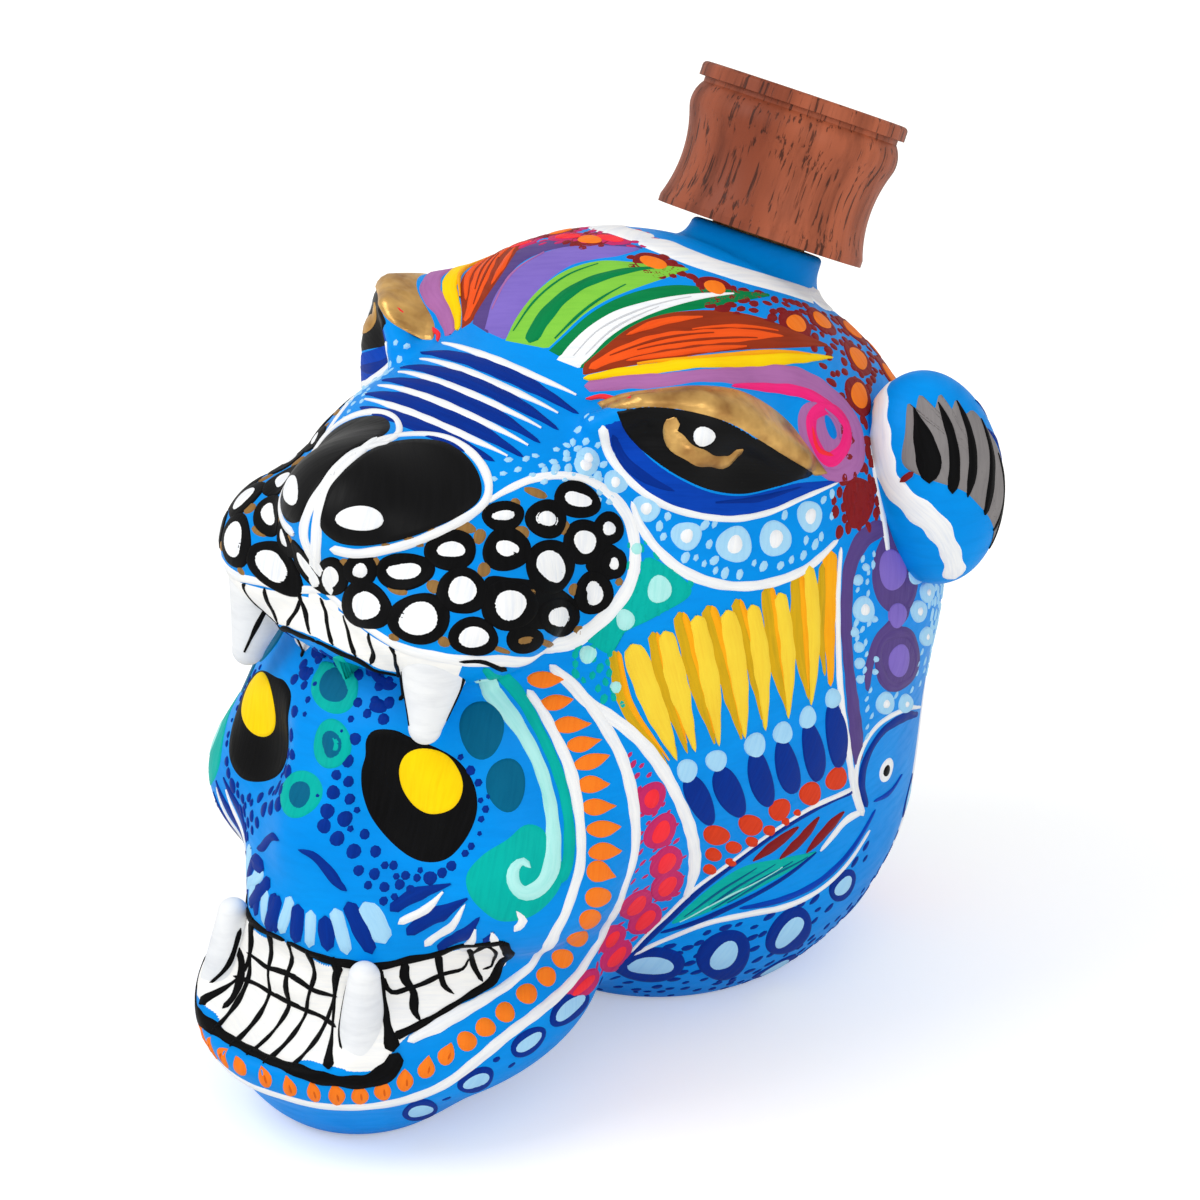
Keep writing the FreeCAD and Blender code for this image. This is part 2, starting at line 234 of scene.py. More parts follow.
def sample(field, low, high, cell):
    """field on a grid from low to at least high. Blocks far from the surface get one value each."""
    blocks = np.ceil((high - low) / (cell * BLOCK)).astype(int)
    index = np.stack(np.meshgrid(*[np.arange(n) for n in blocks], indexing="ij"), -1).reshape(-1, 3)
    middles = field(low + (index + 0.5) * cell * BLOCK)
    values = np.repeat(middles.astype(np.float32)[:, None], BLOCK**3, axis=1)
    step = np.arange(BLOCK)
    inner = np.stack(np.meshgrid(step, step, step, indexing="ij"), -1).reshape(-1, 3)
    near = np.flatnonzero(abs(middles) < cell * BLOCK * 1.5)
    for some in np.array_split(near, len(near) // 300 + 1):
        corners = index[some][:, None] * BLOCK + inner
        values[some] = field(low + corners.reshape(-1, 3) * cell).reshape(len(some), -1)
    values = values.reshape(*blocks, BLOCK, BLOCK, BLOCK).transpose(0, 3, 1, 4, 2, 5)
    return values.reshape(*(blocks * BLOCK))


def surface_net(values, low, cell):
    """Quads around each grid edge that the surface crosses, with one point in each crossed cell."""
    inside = values < 0
    count = np.zeros(tuple(n - 1 for n in inside.shape), np.uint8)
    for i in range(2):
        for j in range(2):
            for k in range(2):
                nx, ny, nz = count.shape
                count += inside[i : i + nx, j : j + ny, k : k + nz]
    crossed = (count > 0) & (count < 8)
    number = np.full(count.shape, -1)
    number[crossed] = np.arange(crossed.sum())
    points = low + (np.argwhere(crossed) + 0.5) * cell
    quads = []
    for axis in range(3):
        u, v = (axis + 1) % 3, (axis + 2) % 3
        here = np.moveaxis(inside, (axis, u, v), (0, 1, 2))
        cells = np.moveaxis(number, (axis, u, v), (0, 1, 2))
        change = here[:-1] != here[1:]
        edge = np.argwhere(change[:, 1:-1, 1:-1]) + (0, 1, 1)
        a, b, c = edge.T
        ring = np.stack([cells[a, b - 1, c - 1], cells[a, b, c - 1], cells[a, b, c], cells[a, b - 1, c]], 1)
        out = here[a, b, c]
        ring[~out] = ring[~out][:, ::-1]
        quads.append(ring)
    return points, np.concatenate(quads)


def slope_of(field, points):
    """(value, gradient) of a field at each point."""
    value = field(points)
    gradient = np.empty_like(points)
    for axis in range(3):
        ahead = points.copy()
        ahead[:, axis] += SLOPE_REACH
        gradient[:, axis] = (field(ahead) - value) / SLOPE_REACH
    return value, gradient


def settle(field, points, quads):
    """Evens the points out and brings them to the surface, in turns."""
    ends = np.concatenate([quads[:, [0, 1]], quads[:, [1, 2]], quads[:, [2, 3]], quads[:, [3, 0]]])
    share = np.bincount(ends[:, 0], minlength=len(points)) + np.bincount(ends[:, 1], minlength=len(points))
    for turn in range(ROUNDS):
        if turn < ROUNDS - 1:
            total = np.empty_like(points)
            for axis in range(3):
                total[:, axis] = np.bincount(ends[:, 0], points[ends[:, 1], axis], len(points))
                total[:, axis] += np.bincount(ends[:, 1], points[ends[:, 0], axis], len(points))
            points = (1 - EVENING) * points + EVENING * total / share[:, None]
        for _ in range(2):
            value, gradient = slope_of(field, points)
            size = np.maximum((gradient**2).sum(1), 0.2)
            points = points - np.clip(value / size, -1, 1)[:, None] * gradient
    return points


def normals_of(points, quads):
    """A smooth normal for each point."""
    face = np.cross(points[quads[:, 2]] - points[quads[:, 0]], points[quads[:, 3]] - points[quads[:, 1]])
    total = np.zeros_like(points)
    for corner in range(4):
        for axis in range(3):
            total[:, axis] += np.bincount(quads[:, corner], face[:, axis], len(points))
    return total / np.maximum(np.linalg.norm(total, axis=1, keepdims=True), 1e-9)


class Skin:
    """A clay surface that strokes are laid on."""

    def __init__(self, field, low, high, cell=CELL):
        low, high = np.array(low, float), np.array(high, float)
        points, quads = surface_net(sample(field, low, high, cell), low, cell)
        self.quads = quads
        self.points = settle(field, points, quads)
        self.normals = normals_of(self.points, quads)
        self.tree = BVHTree.FromPolygons(self.points.tolist(), quads.tolist())

    def snap(self, points):
        """(nearest points on the surface, their smooth normals)."""
        found = [self.tree.find_nearest(p) for p in points.reshape(-1, 3).tolist()]
        spot = np.array([f[0] for f in found])
        corners = self.quads[[f[2] for f in found]]
        weight = 1 / (np.linalg.norm(self.points[corners] - spot[:, None], axis=2) + 0.05) ** 2
        normal = (self.normals[corners] * weight[..., None]).sum(1)
        normal /= np.linalg.norm(normal, axis=1, keepdims=True)
        return spot.reshape(points.shape), normal.reshape(points.shape)

    def cast(self, start, way):
        """Where a line first meets the surface, or the surface point nearest to the line's middle."""
        hit = self.tree.ray_cast(Vector(start), Vector(way))
        if hit[0] is None:
            middle = Vector(start) + Vector(way) * REACH
            hit = self.tree.find_nearest(middle)
        return np.array(hit[0])


def make_object(name, points, faces, material):
    """A smooth-shaded object from points in millimetres."""
    mesh = bpy.data.meshes.new(name)
    mesh.from_pydata((np.asarray(points) * MM).tolist(), [], [list(f) for f in faces])
    mesh.materials.append(material)
    mesh.polygons.foreach_set("use_smooth", [True] * len(mesh.polygons))
    made = bpy.data.objects.new(name, mesh)
    bpy.context.scene.collection.objects.link(made)
    return made


# ---------------------------------------------------------------- strokes


def spline(points, step=0.9, closed=False):
    """Evenly spaced points on a smooth curve through the given ones."""
    p = np.array(points, float)
    if len(p) == 2:
        p = np.stack([p[0], (p[0] + p[1]) / 2, p[1]])
    if closed:
        knots = np.concatenate([p[-1:], p, p[:2]])
    else:
        knots = np.concatenate([2 * p[:1] - p[1:2], p, 2 * p[-1:] - p[-2:-1]])
    fine = []
    share = np.linspace(0, 1, 12, endpoint=False)[:, None]
    for a, b, c, d in zip(knots, knots[1:], knots[2:], knots[3:]):
        fine.append(
            0.5
            * (
                2 * b
                + (c - a) * share
                + (2 * a - 5 * b + 4 * c - d) * share**2
                + (3 * b - a - 3 * c + d) * share**3
            )
        )
    fine = np.concatenate(fine + [knots[-2:-1]])
    run = np.concatenate([[0], np.cumsum(np.linalg.norm(np.diff(fine, axis=0), axis=1))])
    count = max(int(run[-1] / step), 5)
    even = np.linspace(0, run[-1], count + 1)[: None if not closed else -1]
    return np.stack([np.interp(even, run, fine[:, axis]) for axis in range(3)], 1)


BODY = 0.07  # how thick the thinnest paint is
STEP = 0.055  # how much each layer adds
TUCK = -0.05  # a stroke's edge lies this deep in the clay


class Painter:
    """Lays strokes on a skin, and keeps each colour's strokes as one mesh."""

    def __init__(self, skin):
        self.skin = skin
        self.layers = {}
        self.strokes = 0

    def keep(self, colour, points, faces, uv, mirror):
        """Adds one stroke to its colour's mesh, and its mirror image."""
        store = self.layers.setdefault(colour, {"points": [], "faces": [], "uv": [], "count": 0})
        sides = [(1, False), (-1, True)] if mirror else [(1, False)]
        for sign, flip in sides:
            base = store["count"]
            store["points"].append(points * [sign, 1, 1])
            store["faces"] += [[base + i for i in (reversed(f) if flip else f)] for f in faces]
            store["uv"].append(uv)
            store["count"] += len(points)
        self.strokes += 1

    def ribbon(self, colour, points, width, layer=1, mirror=True, wobble=0.05, closed=False, lift=0):
        """A brush stroke along points. width is one number, or several spread evenly along it."""
        centre = spline(points, closed=closed)
        centre, normal = self.skin.snap(centre)
        if closed:
            tangent = np.roll(centre, -1, 0) - np.roll(centre, 1, 0)
        else:
            tangent = np.gradient(centre, axis=0)
        side = np.cross(normal, tangent)
        side /= np.maximum(np.linalg.norm(side, axis=1, keepdims=True), 1e-9)
        run = np.concatenate([[0], np.cumsum(np.linalg.norm(np.diff(centre, axis=0), axis=1))])
        widths = np.atleast_1d(np.array(width, float))
        if closed:
            widths = np.append(widths, widths[0])
        half = np.interp(run / run[-1], np.linspace(0, 1, len(widths)), widths) / 2
        half *= 1 + wobble * np.sin(run * 1.1 + self.strokes) + wobble * np.sin(run * 0.37 + 2 * self.strokes)
        if not closed:
            for away, end in ((run, half[0]), (run[-1] - run, half[-1])):
                if end > 0.2:
                    half = half * np.sqrt(1 - np.clip(1 - away / end, 0, 0.995) ** 2)
        inner = max(int(half.max() * 2 / 1.5), 1)
        across = np.concatenate([[-1], np.linspace(-0.8, 0.8, inner + 1), [1]])
        spread = centre[:, None] + side[:, None] * (half[:, None] * across)[..., None]
        spot, normal = self.skin.snap(spread)
        rise = np.where(abs(across) > 0.99, TUCK, BODY + STEP * layer + lift * (1 - across**2))
        spot = spot + normal * rise[None, :, None]
        rows, columns = spot.shape[:2]
        order = np.arange(rows * columns).reshape(rows, columns)
        if closed:
            order = np.concatenate([order, order[:1]])
        faces = np.stack([order[:-1, :-1], order[:-1, 1:], order[1:, 1:], order[1:, :-1]], -1).reshape(-1, 4)
        uv = np.stack(
            [np.broadcast_to(run[:, None], (rows, columns)) + 17 * self.strokes, half[:, None] * across], -1
        )
        self.keep(colour, spot.reshape(-1, 3), faces.tolist(), uv.reshape(-1, 2), mirror)

    def blob(self, colour, outline, layer=1, mirror=True, lift=0):
        """A filled shape inside a closed outline that its own middle can see all of."""
        edge = spline(outline, step=0.8, closed=True)
        middle = edge.mean(0)
        reach = np.linalg.norm(edge - middle, axis=1)
        rings = max(int(reach.max() / 1.5), 1)
        shares = [1, max(1 - 0.3 / reach.mean(), 0.6)] + list(np.linspace(0.85, 0, rings + 1)[:-1])
        shares = [s for i, s in enumerate(shares) if i < 2 or s < shares[1] - 0.02]
        grid = middle + (edge - middle)[None] * np.array(shares)[:, None, None]
        grid = np.concatenate([grid.reshape(-1, 3), middle[None]])
        spot, normal = self.skin.snap(grid)
        count = len(edge)
        share = np.concatenate([np.repeat(shares, count), [0]])
        rise = np.where(share > 0.999, TUCK, BODY + STEP * layer + lift * (1 - share**2))
        spot = spot + normal * rise[:, None]
        order = np.arange(len(shares) * count).reshape(-1, count)
        beside = np.roll(order, -1, 1)
        faces = np.stack([order[:-1], beside[:-1], beside[1:], order[1:]], -1).reshape(-1, 4).tolist()
        faces += [[a, b, len(grid) - 1] for a, b in zip(order[-1].tolist(), beside[-1].tolist())]
        if np.dot(np.cross(edge[1] - edge[0], middle - edge[0]), normal[-1]) < 0:
            faces = [f[::-1] for f in faces]
        flat = grid - middle
        up = np.array([0, 0.3, 1.0])
        right = np.cross(up, normal[-1])
        uv = np.stack([flat @ up, flat @ right], 1) + 13 * self.strokes
        self.keep(colour, spot, faces, uv, mirror)

    def between(self, colour, chart, first, second, layer=1, mirror=True, lift=0):
        """A filled band between two flat curves that run the same way."""
        edges = [spline([(a, b, 0) for a, b in edge], step=0.6) for edge in (first, second)]
        count = max(len(edge) for edge in edges)
        even = np.linspace(0, 1, count)
        edges = [
            np.stack([np.interp(even, np.linspace(0, 1, len(edge)), edge[:, axis]) for axis in range(2)], 1)
            for edge in edges
        ]
        gap = np.linalg.norm(edges[0] - edges[1], axis=1).max()
        share = np.concatenate([[0], np.linspace(0.12, 0.88, max(int(gap / 1.2), 1) + 1), [1]])
        flat = edges[0][:, None] + share[:, None] * (edges[1] - edges[0])[:, None]
        spot = chart(*flat.reshape(-1, 2))
        spot, normal = self.skin.snap(spot)
        across = np.tile(share, count)
        rise = BODY + STEP * layer + lift * (1 - (2 * across - 1) ** 2)
        border = (across < 0.01) | (across > 0.99) | np.repeat((even < 0.001) | (even > 0.999), len(share))
        spot = spot + normal * np.where(border, TUCK, rise)[:, None]
        order = np.arange(len(spot)).reshape(count, -1)
        faces = np.stack([order[:-1, :-1], order[:-1, 1:], order[1:, 1:], order[1:, :-1]], -1).reshape(-1, 4)
        middle = faces[len(faces) // 2]
        facing = np.cross(spot[middle[2]] - spot[middle[0]], spot[middle[3]] - spot[middle[1]])
        if facing @ normal[middle[0]] < 0:
            faces = faces[:, ::-1]
        self.keep(colour, spot, faces.tolist(), flat.reshape(-1, 2) + 11 * self.strokes, mirror)

    def build(self, prefix, body):
        """One object for each colour."""
        for colour, store in self.layers.items():
            made = make_object(
                f"{prefix}_{colour}", np.concatenate(store["points"]), store["faces"], PAINTS[colour]
            )
            corners = np.concatenate(store["uv"])[[i for f in store["faces"] for i in f]]
            layer = made.data.uv_layers.new(name="stroke")
            layer.data.foreach_set("uv", (corners * 0.1).astype(np.float32).ravel())
            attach(made, body)


# ---------------------------------------------------------------- materials


def linear(r, g, b):
    """A colour written in sRGB, 0 to 255, as Blender wants it."""
    share = np.array([r, g, b]) / 255
    low = share / 12.92
    high = ((share + 0.055) / 1.055) ** 2.4
    return tuple(np.where(share < 0.04045, low, high)) + (1.0,)


class Nodes:
    """A short way to build a node tree."""

    def __init__(self, name):
        self.material = bpy.data.materials.new(name)
        self.material.use_nodes = True
        self.tree = self.material.node_tree
        self.shader = self.tree.nodes["Principled BSDF"]

    def add(self, kind, **values):
        """A node with its input sockets or its properties set."""
        node = self.tree.nodes.new(kind)
        for key, value in values.items():
            if key in node.inputs:
                node.inputs[key].default_value = value
            else:
                setattr(node, key, value)
        return node

    def link(self, output, target):
        self.tree.links.new(output, target)

    def coordinates(self, scale, uv=None, lean=0.0):
        """Object coordinates, or a UV map's, stretched by scale. lean turns them about X first."""
        if uv:
            source = self.add("ShaderNodeUVMap", uv_map=uv).outputs["UV"]
        else:
            source = self.add("ShaderNodeTexCoord").outputs["Object"]
        if lean:
            turned = self.add("ShaderNodeMapping", Rotation=(lean, 0, 0))
            self.link(source, turned.inputs["Vector"])
            source = turned.outputs["Vector"]
        mapping = self.add("ShaderNodeMapping", Scale=scale)
        self.link(source, mapping.inputs["Vector"])
        return mapping.outputs["Vector"]

    def noise(self, where, detail=3.0, roughness=0.5):
        """Noise with cells one unit wide in the coordinates where."""
        node = self.add("ShaderNodeTexNoise", Scale=1.0, Detail=detail, Roughness=roughness)
        self.link(where, node.inputs["Vector"])
        return node.outputs["Fac"]

    def spread(self, value, low, high, out_low=0.0, out_high=1.0):
        """value with low to high mapped onto out_low to out_high."""
        node = self.add("ShaderNodeMapRange")
        for key, number in zip(("From Min", "From Max", "To Min", "To Max"), (low, high, out_low, out_high)):
            node.inputs[key].default_value = number
        self.link(value, node.inputs["Value"])
        return node.outputs["Result"]

    def mix(self, share, first, second):
        """A colour that goes from first to second with share."""
        node = self.add("ShaderNodeMix", data_type="RGBA")
        for socket, value in (("Factor", share), ("A", first), ("B", second)):
            slots = [i for i in node.inputs if i.name == socket and i.enabled]
            if hasattr(value, "links"):
                self.link(value, slots[0])
            else:
                slots[0].default_value = value
        return [o for o in node.outputs if o.enabled][0]

    def bump(self, height, depth, strength):
        """Relief from height, depth mm deep."""
        node = self.add("ShaderNodeBump", Strength=strength, Distance=depth * MM)
        self.link(height, node.inputs["Height"])
        self.link(node.outputs["Normal"], self.shader.inputs["Normal"])


COAT_SHINE = 0.05  # specular level of the flat paints


def acrylic(name, rgb, second, gloss=0.5, shine=COAT_SHINE):
    """Brushed paint: streaks along the stroke, a little of a second tone, and a softly uneven sheen."""
    nodes = Nodes(name)
    streak = nodes.noise(nodes.coordinates((1.2, 14.0, 1.0), "stroke"), 4.0, 0.6)
    cloud = nodes.noise(nodes.coordinates((120.0, 120.0, 120.0)), 2.0)
    colour = nodes.mix(nodes.spread(streak, 0.42, 0.74, 0.0, 0.55), linear(*rgb), linear(*second))
    soft = nodes.spread(cloud, 0.35, 0.7, 0.0, 0.35)
    colour = nodes.mix(soft, colour, linear(*np.clip(np.array(rgb, float) * 1.06 + 5, 0, 255)))
    nodes.link(colour, nodes.shader.inputs["Base Color"])
    nodes.link(nodes.spread(streak, 0.3, 0.7, gloss - 0.07, gloss + 0.1), nodes.shader.inputs["Roughness"])
    nodes.shader.inputs["Specular IOR Level"].default_value = shine
    nodes.bump(streak, 0.09, 0.6)
    return nodes.material


def base_coat(name, rgb, second):
    """The first coat on the clay, brushed on in broad patches, with the clay's unevenness under it."""
    nodes = Nodes(name)
    broad = nodes.noise(nodes.coordinates((55.0, 55.0, 55.0)), 4.0, 0.55)
    brush = nodes.noise(nodes.coordinates((140.0, 140.0, 700.0)), 3.0, 0.6)
    colour = nodes.mix(nodes.spread(broad, 0.3, 0.75), linear(*rgb), linear(*second))
    colour = nodes.mix(nodes.spread(brush, 0.45, 0.8, 0, 0.4), colour, linear(*(np.array(second) * 0.92)))
    nodes.link(colour, nodes.shader.inputs["Base Color"])
    nodes.link(nodes.spread(brush, 0.3, 0.7, 0.34, 0.48), nodes.shader.inputs["Roughness"])
    nodes.shader.inputs["Specular IOR Level"].default_value = COAT_SHINE
    nodes.bump(nodes.noise(nodes.coordinates((320.0, 320.0, 320.0)), 4.0, 0.6), 0.12, 0.5)
    return nodes.material


def gold_paint():
    """Metallic paint, with flakes that turn this way and that."""
    nodes = Nodes("gold_paint")
    grain = nodes.noise(nodes.coordinates((900.0, 900.0, 900.0)), 2.0)
    patch = nodes.noise(nodes.coordinates((160.0, 160.0, 160.0)), 3.0)
    colour = nodes.mix(nodes.spread(patch, 0.35, 0.7), linear(226, 180, 104), linear(158, 112, 58))
    nodes.link(colour, nodes.shader.inputs["Base Color"])
    nodes.shader.inputs["Metallic"].default_value = 0.75
    nodes.link(nodes.spread(grain, 0.3, 0.7, 0.3, 0.5), nodes.shader.inputs["Roughness"])
    streak = nodes.noise(nodes.coordinates((150.0, 150.0, 520.0)), 3.0)
    nodes.bump(streak, 0.35, 0.9)
    return nodes.material


def turned_wood():
    """Stained hardwood with upright grain, dark pores and faint turning marks."""
    nodes = Nodes("turned_wood")
    lean = math.acos(NECK_AXIS[2])
    grain = nodes.noise(nodes.coordinates((190.0, 190.0, 11.0), lean=lean), 5.0, 0.62)
    broad = nodes.noise(nodes.coordinates((45.0, 45.0, 9.0), lean=lean), 3.0, 0.5)
    pores = nodes.noise(nodes.coordinates((1100.0, 1100.0, 55.0), lean=lean), 3.0, 0.6)
    colour = nodes.mix(nodes.spread(broad, 0.35, 0.68), linear(182, 98, 66), linear(136, 66, 42))
    colour = nodes.mix(nodes.spread(grain, 0.42, 0.68, 0, 0.7), colour, linear(92, 42, 26))
    colour = nodes.mix(nodes.spread(pores, 0.57, 0.64, 0, 0.8), colour, linear(42, 20, 14))
    nodes.link(colour, nodes.shader.inputs["Base Color"])
    nodes.link(nodes.spread(grain, 0.3, 0.7, 0.4, 0.58), nodes.shader.inputs["Roughness"])
    nodes.shader.inputs["Specular IOR Level"].default_value = 0.2
    nodes.bump(nodes.spread(pores, 0.55, 0.66, 1, 0), 0.12, 0.7)
    return nodes.material


def stopper_cork():
    """Natural cork: pale brown grains with small dark pits."""
    nodes = Nodes("natural_cork")
    cells = nodes.add("ShaderNodeTexVoronoi", Scale=1.0, Randomness=1.0)
    nodes.link(nodes.coordinates((420.0, 420.0, 420.0)), cells.inputs["Vector"])
    tone = nodes.noise(nodes.coordinates((260.0, 260.0, 260.0)), 3.0)
    colour = nodes.mix(
        nodes.spread(cells.outputs["Distance"], 0.1, 0.7), linear(206, 164, 112), linear(172, 128, 82)
    )
    colour = nodes.mix(nodes.spread(tone, 0.60, 0.70), colour, linear(92, 58, 36))
    nodes.link(colour, nodes.shader.inputs["Base Color"])
    nodes.shader.inputs["Roughness"].default_value = 0.8
    nodes.bump(tone, 0.25, 0.8)
    return nodes.material


# Each paint: its colour, and the second tone that shows along its streaks
COLOURS = {
    "navy": ((2, 44, 136), (4, 60, 165)),
    "royal": ((4, 66, 178), (2, 52, 150)),
    "sky": ((1, 129, 220), (6, 112, 205)),
    "pale_blue": ((165, 214, 245), (138, 196, 238)),
    "teal": ((0, 176, 164), (0, 150, 146)),
    "mint": ((176, 235, 231), (120, 214, 208)),
    "deep_teal": ((0, 98, 134), (0, 84, 120)),
    "yellow": ((255, 212, 8), (250, 190, 4)),
    "ochre": ((214, 168, 22), (160, 140, 30)),
    "rust": ((150, 52, 24), (120, 44, 24)),
    "scarlet": ((242, 88, 28), (230, 70, 24)),
    "straw": ((249, 212, 60), (236, 186, 50)),
    "amber": ((254, 172, 22), (240, 140, 14)),
    "orange": ((251, 128, 34), (240, 104, 26)),
    "vermilion": ((218, 62, 26), (190, 48, 26)),
    "brick": ((134, 30, 32), (108, 24, 30)),
    "hot_pink": ((246, 42, 128), (226, 28, 110)),
    "rose": ((198, 44, 104), (176, 38, 100)),
    "coral": ((252, 52, 62), (240, 40, 56)),
    "purple": ((88, 68, 132), (74, 56, 116)),
    "lilac": ((128, 106, 194), (112, 92, 180)),
    "mauve": ((172, 108, 168), (152, 90, 150)),
    "lime": ((130, 200, 66), (106, 182, 60)),
    "enamel": ((248, 247, 243), (226, 230, 236)),
    "copper": ((214, 96, 22), (196, 82, 20)),
    "bronze": ((150, 112, 62), (96, 72, 44)),
    "smoke": ((206, 208, 212), (190, 194, 200)),
    "green": ((3, 128, 70), (2, 108, 62)),
    "white": ((246, 247, 247), (206, 216, 234)),
    "black": ((9, 9, 10), (20, 20, 22)),
    "grey": ((134, 130, 130), (110, 106, 108)),
}
PAINTS = {}


def make_paints():
    """Every paint's material, kept by name in PAINTS."""
    for name, (first, second) in COLOURS.items():
        PAINTS[name] = acrylic(f"paint_{name}", first, second)
    PAINTS["gold"] = gold_paint()
    PAINTS["wet_black"] = acrylic("paint_wet_black", (10, 10, 11), (17, 17, 19), gloss=0.4, shine=0.1)


# ---------------------------------------------------------------- camera and light


TARGET = (0, 0, 0.076)  # metres, as are the rest of this section
CAMERA_DISTANCE = 1.05
LENS = 165.8
LENS_SHIFT = 0.033
SURROUNDING_LIGHT = 0.72
FLOOR_GLOW = 0.3  # lifts the floor to the backdrop's white for the camera alone
# Each lamp: place, size and power
LAMPS = {"key_lamp": ((-0.55, -0.9, 1.15), 0.9, 8.5), "side_lamp": ((1.3, -0.5, 0.8), 0.8, 4.5)}


def aim(thing, spot):
    """Turns a camera or a lamp toward a spot."""
    thing.rotation_euler = (Vector(spot) - thing.location).to_track_quat("-Z", "Y").to_euler()


def make_camera():
    """The photo's view."""
    back = Vector((math.sin(TURN) * math.cos(RISE), -math.cos(TURN) * math.cos(RISE), math.sin(RISE)))
    data = bpy.data.cameras.new("camera")
    data.lens = LENS
    data.shift_x = data.shift_y = LENS_SHIFT
    camera = bpy.data.objects.new("camera", data)
    camera.location = Vector(TARGET) + CAMERA_DISTANCE * back
    aim(camera, TARGET)
    bpy.context.scene.collection.objects.link(camera)
    bpy.context.scene.camera = camera


def make_lamp(name, place, size, power):
    """A square soft light that faces the object."""
    data = bpy.data.lights.new(name, "AREA")
    data.size = size
    data.energy = power
    lamp = bpy.data.objects.new(name, data)
    lamp.location = place
    aim(lamp, (0, 0, 0.08))
    bpy.context.scene.collection.objects.link(lamp)


def make_world():
    """Even grey light from all round, seen as white behind the object and in its gloss."""
    world = bpy.data.worlds.new("studio")
    world.use_nodes = True
    bpy.context.scene.world = world
    tree = world.node_tree
    light = tree.nodes["Background"]
    light.inputs["Color"].default_value = (1, 1, 1, 1)
    light.inputs["Strength"].default_value = SURROUNDING_LIGHT
    seen = tree.nodes.new("ShaderNodeBackground")
    seen.inputs["Color"].default_value = (1, 1, 1, 1)
    path = tree.nodes.new("ShaderNodeLightPath")
    mix = tree.nodes.new("ShaderNodeMixShader")
    tree.links.new(path.outputs["Is Camera Ray"], mix.inputs["Fac"])
    tree.links.new(light.outputs[0], mix.inputs[1])
    tree.links.new(seen.outputs[0], mix.inputs[2])
    tree.links.new(mix.outputs[0], tree.nodes["World Output"].inputs["Surface"])


def make_floor():
    """White paper under the object."""
    bpy.ops.mesh.primitive_plane_add(size=8)
    floor = bpy.context.object
    floor.name = "floor"
    nodes = Nodes("white_paper")
    nodes.shader.inputs["Roughness"].default_value = 0.9
    nodes.shader.inputs["Specular IOR Level"].default_value = 0.1
    tone = nodes.noise(nodes.coordinates((3.0, 3.0, 3.0)), 2.0)
    colour = nodes.mix(tone, linear(252, 251, 248), linear(250, 249, 245))
    nodes.link(colour, nodes.shader.inputs["Base Color"])
    nodes.shader.inputs["Emission Color"].default_value = (1, 1, 1, 1)
    seen = nodes.add("ShaderNodeLightPath").outputs["Is Camera Ray"]
    nodes.link(nodes.spread(seen, 0, 1, 0, FLOOR_GLOW), nodes.shader.inputs["Emission Strength"])
    floor.data.materials.append(nodes.material)


# ---------------------------------------------------------------- charts and marks


class Chart:
    """Flat positions seen along one direction, and the surface points that they stand for."""

    def __init__(self, skin, right, up, origin=(0, 0, 0)):
        self.skin = skin
        self.right = np.array(right, float)
        self.up = np.array(up, float)
        self.out = np.cross(self.right, self.up)
        self.origin = np.array(origin, float)

    def __call__(self, *pairs):
        flat = [self.origin + a * self.right + b * self.up for a, b in pairs]
        return np.array([self.skin.cast(p + REACH * self.out, -self.out) for p in flat])


def rough_round(paint, count, rough):
    """(angles round a dab, how far out its uneven edge lies at each)."""
    angle = np.linspace(0, 2 * math.pi, count, endpoint=False)
    wave = rough * np.sin(3 * angle + paint.strokes) + 0.03 * np.sin(2 * angle + 3 * paint.strokes)
    return angle, 1 + wave


def oval(paint, colour, chart, spot, length, width, turn=0, layer=2, mirror=True, lift=0.0):
    """An uneven oval dab. turn is how far its length leans clockwise from the chart's upward way."""
    middle, normal = paint.skin.snap(chart(spot))
    up = chart.up - (chart.up @ normal[0]) * normal[0]
    up /= np.linalg.norm(up)
    right = np.cross(up, normal[0])
    a = math.radians(turn)
    long, short = math.cos(a) * up + math.sin(a) * right, math.cos(a) * right - math.sin(a) * up
    angle, uneven = (values[:, None] for values in rough_round(paint, 12, 0.05))
    edge = middle + uneven * (np.cos(angle) * long * length / 2 + np.sin(angle) * short * width / 2)
    paint.blob(colour, edge, layer, mirror, lift=lift)


def dab(paint, colour, chart, spot, width, height, turn=0, layer=2, mirror=True, lift=0.15, point=0.0):
    """A dab drawn flat on the chart, width by height, turned clockwise. point narrows its upper end."""
    angle, uneven = rough_round(paint, 14, 0.04)
    along = np.cos(angle) * uneven * height / 2
    across = np.sin(angle) * uneven * (1 - point * np.clip(np.cos(angle), 0, 1)) * width / 2
    a = math.radians(turn)
    flat = np.stack(
        [across * math.cos(a) + along * math.sin(a), along * math.cos(a) - across * math.sin(a)], 1
    )
    paint.blob(colour, chart(*(flat + spot)), layer, mirror, lift=lift)


def ring_dab(paint, rim, fill, chart, spot, width, height, turn=0, layer=2, border=1.2, mirror=True):
    """A dab with a rim of another colour."""
    dab(paint, rim, chart, spot, width + 2 * border, height + 2 * border, turn, layer, mirror)
    dab(paint, fill, chart, spot, width, height, turn, layer + 1, mirror, lift=0.2)


def ringed(paint, rim, fill, chart, spot, length, width, turn=0, layer=2, border=1.1):
    """An oval with a rim of another colour."""
    oval(paint, rim, chart, spot, length + 2 * border, width + 2 * border, turn, layer)
    oval(paint, fill, chart, spot, length, width, turn, layer + 1, lift=0.15)


def inside(outline, spot):
    """Whether a flat spot is within a closed outline."""
    x, y = spot
    crossings = 0
    for (ax, ay), (bx, by) in zip(outline, outline[1:] + outline[:1]):
        if (ay > y) != (by > y) and x < ax + (y - ay) * (bx - ax) / (by - ay):
            crossings += 1
    return crossings % 2 == 1


